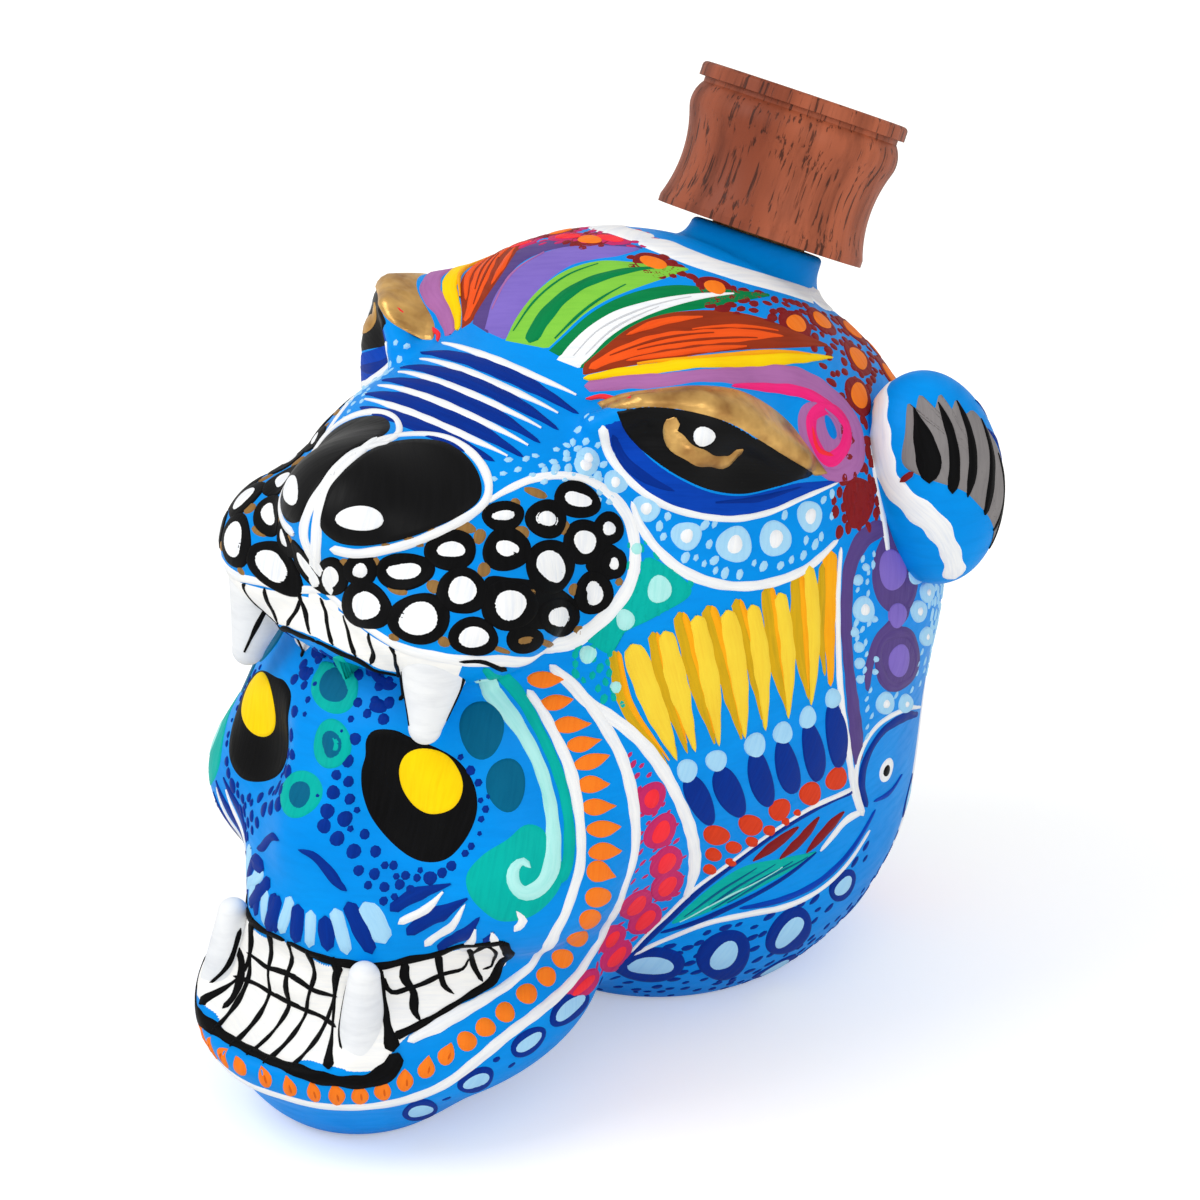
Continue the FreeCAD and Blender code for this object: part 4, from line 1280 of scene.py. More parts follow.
def paint_crown(paint, angled, top):
    """Feathers that fan back over the crown from the forehead."""
    edge = (
        (-16.4, 58.4), (-15.4, 64), (-12.6, 69), (-8.6, 73), (-3, 75), (4, 75.2), (10, 74.4), (15.4, 72.9)
    )
    paint.between(
        "purple", angled, edge,
        ((-13, 56), (-12.6, 62), (-10, 67), (-6.6, 70.6), (-1, 72.8), (5, 73.2), (10, 73), (15.4, 72.6)), 1,
        mirror=False
    )
    upper = (
        (-14.4, 57), (-13, 62.4), (-10.4, 67), (-6.6, 70.6), (-1, 73), (5, 73.7), (10, 73.3), (14.8, 72.7)
    )
    paint.between(
        "lilac", angled, upper,
        ((-10, 54.8), (-8.6, 58), (-6, 62), (-2.4, 66), (2, 69.2), (6.6, 70.4), (10.6, 71), (14.8, 72.4)),
        2, mirror=False
    )
    paint.ribbon("mauve", angled((-12.6, 61), (-9, 68), (-3, 72.2)), (0.3, 0.8, 0.3), 3, mirror=False)
    upper = ((-10.4, 54.8), (-8, 60), (-4, 65), (1, 68.6), (7, 70.3), (13, 70), (18, 69.4), (23.8, 68.6))
    paint.between(
        "lime", angled, upper,
        ((-2.2, 53), (0.6, 55.6), (4.6, 59.4), (8.6, 62), (13, 64), (17, 65.6), (20.6, 67), (23.8, 68.4)),
        2, mirror=False
    )
    paint.ribbon(
        "green",
        angled((-5.6, 54.2), (-3.6, 58), (-0.4, 62), (3.6, 65), (8.6, 67), (14, 68.2), (18.6, 68.6)),
        (3.4, 4, 3.8, 3.4, 2.8, 1.8, 0.3), 3, mirror=False
    )
    for path in (((-8.6, 56.6), (-4.6, 62.4), (1, 67), (7, 69.4)), ((-1, 55), (5, 60.8), (12, 65.2))):
        paint.ribbon("green", angled(*path), (0.2, 0.6, 0.5, 0.2), 4, mirror=False)
    upper = ((-2.4, 52.8), (1, 56), (5, 59.6), (9.6, 62.4), (15, 64.4), (21, 65.4), (28, 65), (39, 64.2))
    paint.between(
        "green", angled, upper,
        ((4.4, 48.9), (7.6, 52), (11, 55.4), (15, 58), (20, 59.6), (26, 60.6), (32, 62), (39, 63.8)), 2,
        mirror=False
    )
    upper = ((-0.8, 51), (1.4, 54), (5, 57.4), (9.6, 60.2), (14.6, 61.8), (20, 63), (26, 63.7), (32.4, 63.9))
    paint.between(
        "white", angled, upper,
        ((3.6, 49.2), (6, 51.4), (9, 54.6), (13, 57.4), (17.6, 59.6), (22, 61.2), (27, 62.6), (32.4, 63.7)),
        4, mirror=False
    )
    for path in (((2.4, 51.6), (7, 56.4), (14, 60), (24, 62.8)), ((4.6, 51.8), (10, 56.8), (18, 60.8))):
        paint.ribbon("smoke", angled(*path), (0.2, 0.5, 0.2), 5, mirror=False)
    upper = ((4, 50), (8, 53.6), (12, 56.8), (16.4, 59), (22, 60.3), (30, 60.6), (38, 59.2), (50, 54.8))
    paint.between(
        "rust", angled, upper,
        ((4, 48), (9, 49), (15, 50), (21, 51), (28, 52.2), (35, 53), (42, 53.6), (50, 54.6)), 3
    )
    paint.ribbon(
        "scarlet", angled((5.2, 49.2), (10, 51.6), (17, 53.8), (25, 55), (33, 55.7), (41, 55.8)),
        (1.6, 4, 4.8, 4.2, 3, 0.5), 4
    )
    for path, widths in (
        (((12, 55.4), (18, 57.8), (26, 59)), (0.6, 2, 1.6, 0.4)),
        (((12, 50.6), (22, 52.2), (34, 53.6)), (0.6, 1.6, 1.6, 0.3)),
        (((24, 56.6), (32, 57.4), (40, 56.8)), (0.3, 1, 0.3))
    ):
        paint.ribbon("scarlet", angled(*path), widths, 5)
    for path in (((9, 51.6), (18, 54.6), (28, 56)), ((14, 52.6), (24, 54.4), (36, 55.2))):
        paint.ribbon("rust", angled(*path), (0.2, 0.7, 0.2), 6)
    paint.ribbon(
        "yellow",
        angled((4.2, 47.4), (10, 48.4), (19, 49.4), (28, 50.5), (37, 51.3), (44, 51.9), (50.4, 52.3)),
        (1, 2.6, 3.2, 3.6, 3.2, 2, 0.3), 6
    )
    paint.ribbon("amber", angled((14, 50), (24, 51), (34, 52.2), (46, 52.6)), (0.3, 1, 1.2, 0.3), 7)
    for spot, length in (((-14, 17), 7), ((-5, 19), 7), ((-24, 15), 6)):
        oval(paint, "rose", top, spot, 5.4, length + 3, 0, 2, mirror=False)
        oval(paint, "coral", top, spot, 3, length, 0, 4, mirror=False)
    scatter(
        paint, "rose", top,
        [(-30, 12), (-16, 13), (-4, 15.6), (3, 18), (3, 26), (-8, 28), (-22, 26), (-30, 20)], 1.9, 1.7, 60,
        2, seed=33, mirror=False
    )


def paint_head_back(paint, top, rear):
    """Orange ovals on dark red dabs over the crown's back, and a fan of leaves below a white line behind."""
    spots = [
        ((8, 16.6), 4, 6), ((19.4, 21), 5, 4.4), ((29, 33), 8, 4), ((25, 45), 9, 4.4), ((30, 50), 10, 5),
        ((38.4, 40.4), 9, 5), ((20, 60), 9, 5), ((27, 63), 7, 5), ((17, 70), 7, 5), ((6, 75), 6, 7)
    ]
    for spot, length, width in spots:
        oval(paint, "brick", top, spot, length + 3, width + 3, -8, 2)
        oval(paint, "orange", top, spot, length, width, -8, 4, lift=0.15)
    field = [
        (22, 16), (30, 22), (34, 33), (40, 31), (49, 24), (50, 34), (44, 37), (38, 43), (32, 54), (28, 63),
        (21, 73), (10, 79), (0, 81), (0, 74), (12, 68), (18, 58), (22, 46), (23, 34), (20, 24)
    ]
    scatter(
        paint, "brick", top, field, 1.9, 1.9, 0, 2, [(spot, 2.6) for spot, *_ in spots], seed=31,
        stretch=1.9
    )
    front_field = [(3, 17), (8, 20.5), (15, 19), (20, 24), (24, 26), (21, 17), (14, 20), (12, 13), (5, 12)]
    scatter(paint, "brick", top, front_field, 1.8, 1.8, 60, 2, [(spot, 2.4) for spot, *_ in spots], seed=32)
    paint.ribbon(
        "white", top((52, 33.5), (46, 36.5), (40, 43), (35, 53), (31, 62), (24, 72), (12, 80.5), (0, 83.5)),
        (1.6, 2.4, 2.8, 2.4, 2.2, 1.8), 4
    )
    frame = (
        (0, 84), (10, 84), (20, 81), (28, 75), (33, 67), (35.6, 58), (37, 48), (38, 38), (37.6, 28),
        (35, 18)
    )
    paint.ribbon("white", rear(*frame), (1.8, 2.2, 2.6, 2.6, 2.4, 2.2, 2, 1.6), 4)
    inside_frame = [
        (0, 10), (33, 18), (36, 30), (35.6, 46), (34, 57), (31, 67), (26, 73.4), (19, 78.6), (10, 81.4),
        (0, 81.6)
    ]
    leaves = [
        ("green", "lime", "yellow", ((0, 24), (0, 38), (0, 54), (0, 70)), 10.6),
        ("deep_teal", "mint", "white", ((5, 20), (9, 34), (13, 48), (15.6, 66)), 8.6),
        ("purple", "lilac", "mauve", ((9, 17), (17, 30), (23, 42), (27.4, 56)), 8.2),
        ("brick", "scarlet", "amber", ((12, 13.4), (21, 22), (28, 30.6), (33, 42)), 7.4),
        ("navy", "hot_pink", "coral", ((12, 8.6), (20, 12.6), (27, 17.4), (32, 24.6)), 6),
    ]
    for edge, fill, vein, path, width in leaves:
        paint.ribbon(edge, rear(*path), (1.4, width, width + 1.4, width * 0.8, 0.4), 3, mirror=path[0][0] > 0)
        paint.ribbon(
            fill, rear(*path), (0.8, width - 2.6, width - 1.6, width * 0.5, 0.3), 4, mirror=path[0][0] > 0,
            lift=0.1
        )
        paint.ribbon(vein, rear(*path[:3]), (0.5, 1.3, 1, 0.2), 6, mirror=path[0][0] > 0)
    beads = [((7.4, 73.6), 4.6), ((21.6, 67), 4), ((30.4, 50.4), 3.6)]
    for spot, size in beads:
        ring_dab(paint, "pale_blue", "white", rear, spot, size - 1, size, 0, 3, 1.1)
    dab(paint, "orange", rear, (0, 77), 3.4, 4.4, 0, 3, mirror=False, point=0.6)
    scatter(paint, "navy", rear, inside_frame, 2.5, 1.7, 20, 1, [(spot, 4) for spot, _ in beads], seed=34)
    for u, v, size in ((0, 95.4, 6.4), (10, 96, 5.6), (19.6, 96.6, 5), (28.4, 93.6, 4.4)):
        ring_dab(paint, "teal", "pale_blue", rear, (u, v), size, size * 0.9, 0, 2, 1.3, mirror=u > 0)
        ring_dab(paint, "navy", "white", rear, (u, v), size * 0.3, size * 0.36, 0, 4, 0.6, mirror=u > 0)
    for u, v in ((5, 95.6), (14.8, 96.6), (24.2, 95.6), (32, 90.4)):
        for down, colour in ((-2.4, "lime"), (0, "yellow"), (2.4, "lime")):
            dab(paint, colour, rear, (u, v + down), 1.5, 1.9, 0, 2)
    drops = [(5, 87.6, 8), (12, 87.2, 20), (18.6, 85.4, 34), (25, 82, 44), (30.6, 77.4, 52)]
    for u, v, turn in drops:
        dab(paint, "orange", rear, (u, v), 2.6, 3.8, turn, 3, point=0.6)


def paint_neck(paint, angled):
    """A wide white ring round the neck's root."""
    upper = ((14.4, 75.2), (20, 74.8), (24, 73), (29, 71), (35, 69.4), (41, 68.2), (48, 66.6))
    lower = ((14.4, 73.4), (19.6, 71), (24, 69.2), (29, 67.6), (34.6, 66), (40.6, 64.8), (48, 63.4))
    paint.between("white", angled, upper, lower, 3)
    across = np.cross(NECK_AXIS, [1.0, 0, 0])
    angle = np.radians(np.linspace(2, 178, 18))[:, None]
    back = NECK_ROOT + 17.6 * (np.cos(angle) * [1.0, 0, 0] + np.sin(angle) * across)
    paint.ribbon("white", back, (5, 5.6, 5.2, 5.8, 5), 3, mirror=False)


def paint_nose(paint, angled):
    """Two black pads with white outlines, and a white line down between them."""
    pad = (
        (-42.4, 24.4), (-40.6, 28), (-37.8, 31), (-34.6, 33.6), (-30.6, 35.4), (-26, 36.1), (-21, 35.7),
        (-17.4, 33.6), (-14.9, 30.4), (-14, 27.2), (-14.6, 24.7),
        (-17.4, 22.4), (-21, 20.5), (-26, 18.4), (-31, 17.1), (-35.6, 16.6), (-39.8, 17.3), (-42.6, 19.6),
        (-43.1, 22),
    )
    paint.blob("wet_black", angled(*pad), 3)
    line = (
        (-36.4, 33.2), (-33.2, 35.6), (-29, 36.8), (-24, 37), (-19.6, 36), (-16, 33.6), (-13.6, 30.4),
        (-12.8, 27), (-13.8, 24.2), (-17.4, 21.4), (-22, 19), (-27, 17), (-32, 15.8), (-36.6, 15.3),
        (-41, 16.2)
    )
    paint.ribbon(
        "white", angled(*line), (1.4, 1.5, 1.3, 1.2, 1.3, 1.5, 1.7, 1.6, 1.7, 1.8, 1.8, 1.8, 1.8, 1.9, 2),
        4, lift=0.1
    )
    between = (
        (-33, 36.2), (-35.8, 33.6), (-39, 30.6), (-41.8, 27), (-43.2, 22.4), (-43.6, 17.4), (-44, 13),
        (-44.4, 9.6)
    )
    paint.ribbon("white", angled(*between), (1, 1.9, 2.1, 2.1, 2, 2.6, 3, 2.8), 5)
    dab(paint, "white", angled, (-35.6, 21.5), 9.2, 4.5, 0, 5, lift=0.25)


def paint_muzzle(paint, angled):
    """White spots in black rings on a bronze pad, with a white edge."""
    rim = (
        (-13.4, 24.4), (-9.5, 26.8), (-5, 28.8), (0, 29.5), (5, 28.7), (9.2, 26), (12.2, 22), (13.4, 17.4),
        (13.2, 12), (11.2, 7.6), (7.4, 3.4),
        (2, -0.4), (-4, -3), (-10, -3.9), (-16, -3.9), (-22, -3.1), (-28, -1.6), (-33, 1.2), (-38, 4.8),
        (-42.4, 8.8),
    )
    paint.ribbon(
        "white", angled(*rim),
        (1, 1.5, 1.6, 1.7, 2, 2.2, 2.3, 2.4, 2.8, 3, 3.2, 3.2, 3, 3, 2.8, 2.4, 1.8, 1.5, 1.5, 1.6), 2
    )
    spots = [
        (3, 25.1, 5.6, 3.2, 14, 1.7), (-10.2, 22.1, 4.8, 2.4, -6, 1.6), (-2.5, 21.6, 4.5, 3.6, 10, 1.7),
        (8.6, 20, 3, 3.1, 20, 1.5), (4.3, 17.6, 4.7, 4.8, 20, 1.7),
        (-19.5, 15.9, 5.8, 3.7, 0, 1.9), (-9.6, 16.1, 4.7, 3.9, 0, 2.1), (-1.8, 13.1, 5.6, 6.6, -6, 1.7),
        (9.6, 13.7, 2.3, 2.9, 0, 1.4), (6, 8.4, 4, 5, 0, 1.6),
        (-27.7, 12.1, 7.2, 3.6, 0, 1.7), (-35.6, 12.4, 3.4, 3.2, 0, 1.5), (-41.1, 11.2, 3.8, 4.4, 10, 1.4),
        (-34.6, 6.1, 6.4, 5.2, 35, 1.7), (-25, 3.7, 7.8, 6.1, -8, 1.7),
        (-17.4, 8.6, 5.8, 5.3, 0, 1.7), (-9, 6.1, 6.2, 5.8, 0, 1.8), (-0.4, 4.1, 4.3, 4, 0, 1.6),
        (-15.4, 0.5, 6, 4.1, 0, 1.5),
    ]
    for u, v, width, height, turn, border in spots:
        ring_dab(paint, "black", "white", angled, (u, v), width, height, turn, 3, border)
    ring_dab(paint, "black", "bronze", angled, (-6.4, 0), 3.4, 1.6, -10, 3, 1.7)
    paint.blob(
        "black",
        angled(
            (-13.4, 10.8), (-9, 11), (-5, 10.6), (0, 9.2), (3, 6.6), (2.6, 2.2), (-4, 1.8), (-9, 1.4),
            (-13.8, 4)
        ),
        2
    )
    paint.blob("black", angled((4.6, 14), (7.4, 17.4), (10.6, 16.4), (11.6, 12.6), (8.6, 10.6), (5.2, 12)), 2)
    gold = [
        (-30.6, 16.4, 3, 1.4), (-26, 17.4, 4, 1.6), (-22, 18.8, 4, 1.8), (-17.4, 20.2, 5, 2.4),
        (-14.4, 18.4, 2.4, 3), (-7, 19, 3, 3), (-4.4, 26.3, 5, 1.6), (-8, 24.6, 2, 1.6),
        (-18, 12.6, 3.4, 1.8),
        (-13.6, 12.4, 2.4, 3), (-29, 8.8, 4.4, 1.6), (-22.4, 9.4, 3, 2.6), (-33, 13.8, 1.8, 2),
        (-38.4, 13.6, 2.4, 1.8), (-29.6, 0.4, 2.4, 1.4), (-20.6, -0.4, 2.6, 2), (-10.6, -1.8, 4, 1),
        (-2.6, -0.6, 3.4, 1.2), (3.4, 1.6, 2.4, 2), (2.4, 9, 2, 2.4), (10.6, 10.4, 1.6, 1.8),
        (-5, 8.4, 1.6, 1.4), (0.8, 20, 1.6, 3), (-38, 8, 1.6, 2.4),
    ]
    for u, v, width, height in gold:
        dab(paint, "bronze", angled, (u, v), width, height, 20, 2, lift=0)


def paint_skull(paint, angled):
    """The skull's face: black sockets with yellow discs, teal spots, navy dabs and a fan of strokes."""
    socket = (
        (-35.2, -18), (-33.6, -16.3), (-30, -16.3), (-27, -17.6), (-22, -19.6), (-18.4, -21.8), (-16, -25),
        (-15, -28.4), (-15.2, -32), (-17, -36), (-20, -39.4), (-23.4, -40.4),
        (-27, -39.6), (-31, -36.6), (-34.4, -32.4), (-36, -28), (-36.2, -24), (-35.4, -21),
    )
    paint.blob("black", angled(*socket), 2)
    disc = (
        (-28.2, -20.8), (-25.6, -19.5), (-22, -19.9), (-19.5, -21.5), (-17.7, -24.6), (-17.5, -27.4),
        (-18.7, -30), (-21, -31.4), (-24, -31.6), (-26.7, -30), (-28.7, -27), (-29.3, -23.6)
    )
    paint.blob("yellow", angled(*disc), 4, lift=0.1)
    dab(paint, "deep_teal", angled, (-14.2, -16.2), 8.4, 10.4, 0, 2)
    dab(paint, "deep_teal", angled, (-9.8, -26.2), 7, 10.2, 0, 2)
    for u, v, width, height, turn in (
        (-41, -8.4, 6, 7, 0), (-41.5, -19, 4.2, 5.8, 0), (-47.4, -28.2, 4.6, 5.8, 25)
    ):
        ring_dab(paint, "teal", "deep_teal", angled, (u, v), width, height, turn, 2, 1.6, mirror=False)
    dots = [
        (-44.8, -2.4, 2), (-46.8, -6.2, 2.5), (-36.8, -6.4, 2.2), (-34.6, -5.8, 1.7), (-32.8, -8.4, 2),
        (-31, -7.4, 1.6), (-33.6, -11, 1.8), (-31, -11.4, 2.2), (-36.8, -11.4, 1.9), (-35, -13.4, 1.8),
        (-32, -14.4, 2.2),
        (-38, -14.4, 1.4), (-37.2, -18, 2.3), (-38.6, -22, 2.4), (-40.7, -24.6, 2), (-38.5, -25.8, 2.1),
        (-41.3, -27.8, 2.6), (-38.3, -29, 2.1), (-42.4, -31.2, 2.8), (-39.2, -32.6, 2.9), (-43, -33.9, 2.7),
        (-40.6, -36.2, 2.8),
        (-35.6, -35.4, 2), (-37.6, -38.5, 2.8), (-33.6, -38.5, 2.2), (-36.7, -42, 2.1), (-33.8, -42.6, 2.2),
        (-31.9, -41, 1.6), (-30.3, -41, 1.8), (-28.1, -42.8, 1.8), (-26, -43.2, 1.6), (-23.6, -43.2, 2.6),
        (-21.4, -42.2, 2), (-19.7, -40.9, 2),
        (-35, -44.7, 1.7), (-32, -45, 2), (-29.2, -44.5, 2), (-27.2, -45.4, 1.8), (-32.2, -47.6, 1.8),
        (-30.2, -46.8, 1.5), (-18, -21.2, 1.3), (-16.2, -23.6, 1.9), (-14.8, -25.8, 1.6), (-13, -28.3, 1),
        (-14.4, -29, 1.2),
        (-13.5, -30.6, 1.5), (-14.3, -32.4, 1.4), (-14.6, -35, 1), (-17.2, -38.6, 1.5), (-16.1, -37.3, 1.5),
        (-29.8, -43, 1.4), (-25.4, -41.8, 1.3), (-38.2, -34.4, 1.4), (-44.2, -28.4, 1.6), (-37, -31, 1.4),
        (-39.6, -16.6, 1.1),
    ]
    for u, v, size in dots:
        dab(paint, "navy", angled, (u, v), size, size * 1.12, 30, 1)
    paint.ribbon(
        "navy", angled((-47.8, -38.3), (-45, -39.4), (-42.6, -41.8), (-40.6, -44.4), (-38.9, -45.8)),
        (0.5, 1.6, 2, 2.2, 1), 3
    )
    fan = [
        ("navy", (-57, -40.6), (-54.6, -42.4), 3.4), ("navy", (-57.6, -49.2), (-53.4, -44), 3),
        ("pale_blue", (-58.4, -46.6), (-54.8, -42.4), 2.6), ("navy", (-54, -53.6), (-51.6, -47), 3.2),
        ("pale_blue", (-51.4, -54), (-49.4, -47), 2.8), ("navy", (-48.6, -55.6), (-48, -48.4), 3.3),
        ("pale_blue", (-46, -56.4), (-45.6, -49.4), 2.6),
        ("navy", (-42.6, -57), (-43, -50.4), 3.3), ("pale_blue", (-39, -57.6), (-41.2, -49), 3),
        ("pale_blue", (-32, -55.4), (-35.8, -47.8), 5), ("navy", (-34.4, -57.4), (-38.8, -47.8), 3.4),
    ]
    for colour, start, end, width in fan:
        middle = ((start[0] + end[0]) / 2, (start[1] + end[1]) / 2)
        paint.ribbon(
            colour, angled(start, middle, end), (width * 0.75, width, width * 0.85),
            2 if colour == "pale_blue" else 3, mirror=False, lift=0.1
        )
        if start[0] > -50:
            paint.ribbon(
                colour, angled(start, middle, end) * [-1, 1, 1], (width * 0.75, width, width * 0.85), 1,
                mirror=False, lift=0.1
            )
    for path, widths in (
        (((-19.8, -44.2), (-26, -46.2), (-31, -49.4)), (0.4, 3, 2.2)),
        (((-16.8, -46.8), (-22, -49.8), (-28, -53.9)), (0.4, 3.6, 2.6)),
        (((-14.6, -50.2), (-18, -54), (-22.4, -56.8)), (0.4, 3.2, 1.8)),
        (((-12, -53), (-14, -55)), (0.5, 1.6)),
    ):
        paint.ribbon("navy", angled(*path), widths, 2)
    for path in (
        ((-21.2, -45.6), (-24.6, -49.2), (-29.6, -51.8)), ((-17.2, -47.8), (-20, -52.4), (-24.8, -56)),
        ((-15.4, -52.4), (-16.2, -55), (-18, -57)), ((-12.4, -53), (-11.8, -55.4)),
        ((-8, -49), (-6.8, -51), (-8.4, -52.8))
    ):
        paint.ribbon("white", angled(*path), (0.4, 1.8, 1.6), 3)


def paint_upper_teeth(paint, angled):
    """White teeth under the muzzle, parted by black strokes."""
    top = ((-45.4, 10), (-42.6, 7.4), (-38.4, 4.4), (-34, 1), (-30.6, -1), (-28, -2.4))
    paint.between(
        "enamel", angled, top, ((-46, 1), (-43, -0.4), (-39.6, -2), (-36, -3.6), (-32.6, -5.4), (-29, -6)),
        2
    )
    paint.between(
        "enamel", angled, ((-29.4, -1.6), (-24, -3), (-16.8, -3.4)),
        ((-28.8, -10), (-24, -11), (-19.4, -10)), 2
    )
    strokes = (
        ((-47.4, 8.6), (-46, 5), (-45, 1)), ((-43.2, 7.6), (-42, 3.2), (-40.8, -1)),
        ((-38.9, 4.4), (-37.8, 0.4), (-36.6, -3)),
        ((-34.2, 1.2), (-33.4, -2), (-34, -4.4)), ((-30.4, -1.2), (-29.4, -2.8), (-29, -6), (-29.2, -11)),
        ((-44.4, -0.2), (-43, -0.7), (-39.8, -2.3), (-36, -3.9), (-32.6, -5.7), (-29, -6.4)),
    )
    for path in strokes:
        paint.ribbon("black", angled(*path), (0.8, 1.1, 1), 4, mirror=path[-1][0] > -40, wobble=0.15)
    paint.ribbon("black", angled((-18, -3.8), (-13.6, -3.9), (-9.6, -5.4)), (0.8, 1, 1.4), 4)


def paint_lower_teeth(paint, front, angled):
    """Two rows of small teeth in the open mouth, with black edges and gaps."""
    upper = (
        (-49.6, -55.4), (-45, -57.8), (-40, -59), (-33, -59.6), (-27, -58.6), (-20, -57), (-14, -55.4),
        (-9.4, -55)
    )
    lower = (
        (-57.4, -75.6), (-50, -78), (-43, -80), (-34, -80), (-30, -75), (-25, -70.6), (-17, -66), (-10, -60)
    )
    paint.between("enamel", angled, upper, lower, 2)
    paint.between("enamel", front, ((-1, 41), (2, 41), (5, 41)), ((-1, 24.6), (2, 24.4), (5, 24.2)), 1)
    for x in (5.2, 10.8):
        paint.ribbon(
            "black", front((x - 0.3, 41.4), (x + 0.5, 36), (x - 0.2, 30), (x - 0.5, 25), (x - 0.8, 21.6)),
            (1.2, 0.9, 1.1, 1), 5, wobble=0.2
        )
    paint.ribbon(
        "black", front((0.3, 41.4), (-0.4, 34), (0.4, 28), (0, 21.6)), (1, 1.2, 0.9), 5, mirror=False,
        wobble=0.2
    )
    strokes = [
        (((-51.6, -61), (-48, -63), (-45, -64.7), (-40.8, -65.6)), (1, 1, 0.8)),
        (((-53, -65.6), (-48, -68), (-44, -69.4), (-41, -71.2)), (1, 1.3, 1, 0.8)),
        (((-28.3, -59), (-28.6, -62), (-27, -64.6), (-26.8, -68), (-25.6, -70)), (2, 2.2, 1.8, 1.8, 0.6)),
        (((-22.4, -57.6), (-22, -61.4), (-21.4, -63.6), (-19.6, -65.2)), (1.7, 1.4, 1.2, 0.4)),
        (((-16.7, -56.4), (-15.8, -60.4), (-14.4, -63)), (1.1, 1.2, 1.4)),
        (
            (
                (-33, -61.6), (-31, -64.6), (-28, -64), (-25, -63), (-21.6, -61.4), (-18, -60.4),
                (-16.8, -58.4)
            ),
            (1.6, 1.2, 1, 1, 0.8, 0.5)
        ),
        (
            ((-16.4, -57.6), (-13.6, -55.8), (-11.8, -57), (-12.6, -59.6), (-14.4, -60.6)),
            (0.6, 0.8, 0.8, 0.6)
        ),
        (((-40.4, -59.4), (-41.2, -63), (-41.6, -70), (-42.4, -78.6)), (2, 1, 0.7, 2.6)),
        (((-33.4, -60), (-32.6, -65), (-31.6, -71), (-30.6, -75.4)), (2, 1.7, 1.5, 3.2)),
        (
            (
                (-50, -55.6), (-45, -57.9), (-40, -59.2), (-33, -59.8), (-28, -58.7), (-22, -57.4),
                (-16, -55.7), (-10.4, -54.8)
            ),
            (1.2, 1.4, 1.8, 1.6, 1.4, 1.3, 1.2, 1.6)
        ),
        (
            ((-10.4, -54.8), (-9.5, -58), (-12.4, -62.6), (-18, -66.2), (-24.6, -70), (-30.6, -72.8)),
            (1.6, 2.4, 2.2, 1.4, 1.2, 1.8)
        ),
        (
            ((-57.4, -75.8), (-50, -78.4), (-43, -80.5), (-36, -81), (-31.6, -79), (-29.6, -75.6)),
            (2.2, 2.4, 2.6, 2.8, 3.8, 3.4)
        ),
    ]
    for path, widths in strokes:
        paint.ribbon("black", angled(*path), widths, 5, wobble=0.12)
    edge = angled((-60, -49), (-60.6, -53), (-59.8, -58.3), (-59.4, -62), (-60.8, -66.5), (-62.9, -68.8))
    paint.ribbon("black", edge, (1, 1.8, 1.6, 1.4, 1.8, 1.4), 5, mirror=False, wobble=0.1)


# ---------------------------------------------------------------- pieces


def fang_clay(points, root, tip, root_radius, tip_radius):
    """A tapered round-ended tooth, a little uneven along its length."""
    along = (points - root) @ (tip - root) / ((tip - root) @ (tip - root))
    uneven = 0.14 * np.sin(4 * along + 0.5 * points[:, 0])
    return rod(points, root, tip, root_radius, tip_radius) + SKIN + uneven


def paint_disc(paint, angled):
    """A blue disc with a ringed dot, half round it a navy arc, behind the leaf."""
    paint.ribbon(
        "navy", angled((58.6, -32), (57.2, -27), (58.4, -21.4), (61.6, -17), (66, -14.8), (69, -14.4)),
        (1.2, 2.4, 2.6, 2.4, 2, 1), 3
    )
    paint.ribbon(
        "white", angled((57.8, -33.6), (55.9, -27), (57, -20.4), (60.6, -15.6), (66, -13.2), (69.6, -13)),
        (1.6, 1.4, 1.3, 1.2, 1, 0.5), 4
    )
    dab(paint, "white", angled, (62.4, -25), 2.7, 4.8, 15, 3)
    dab(paint, "black", angled, (62.2, -25), 1.5, 2.8, 15, 5)
    paint.ribbon("royal", angled((60, -31), (63.4, -29.4), (66, -26)), (0.6, 1.3, 0.5), 3)


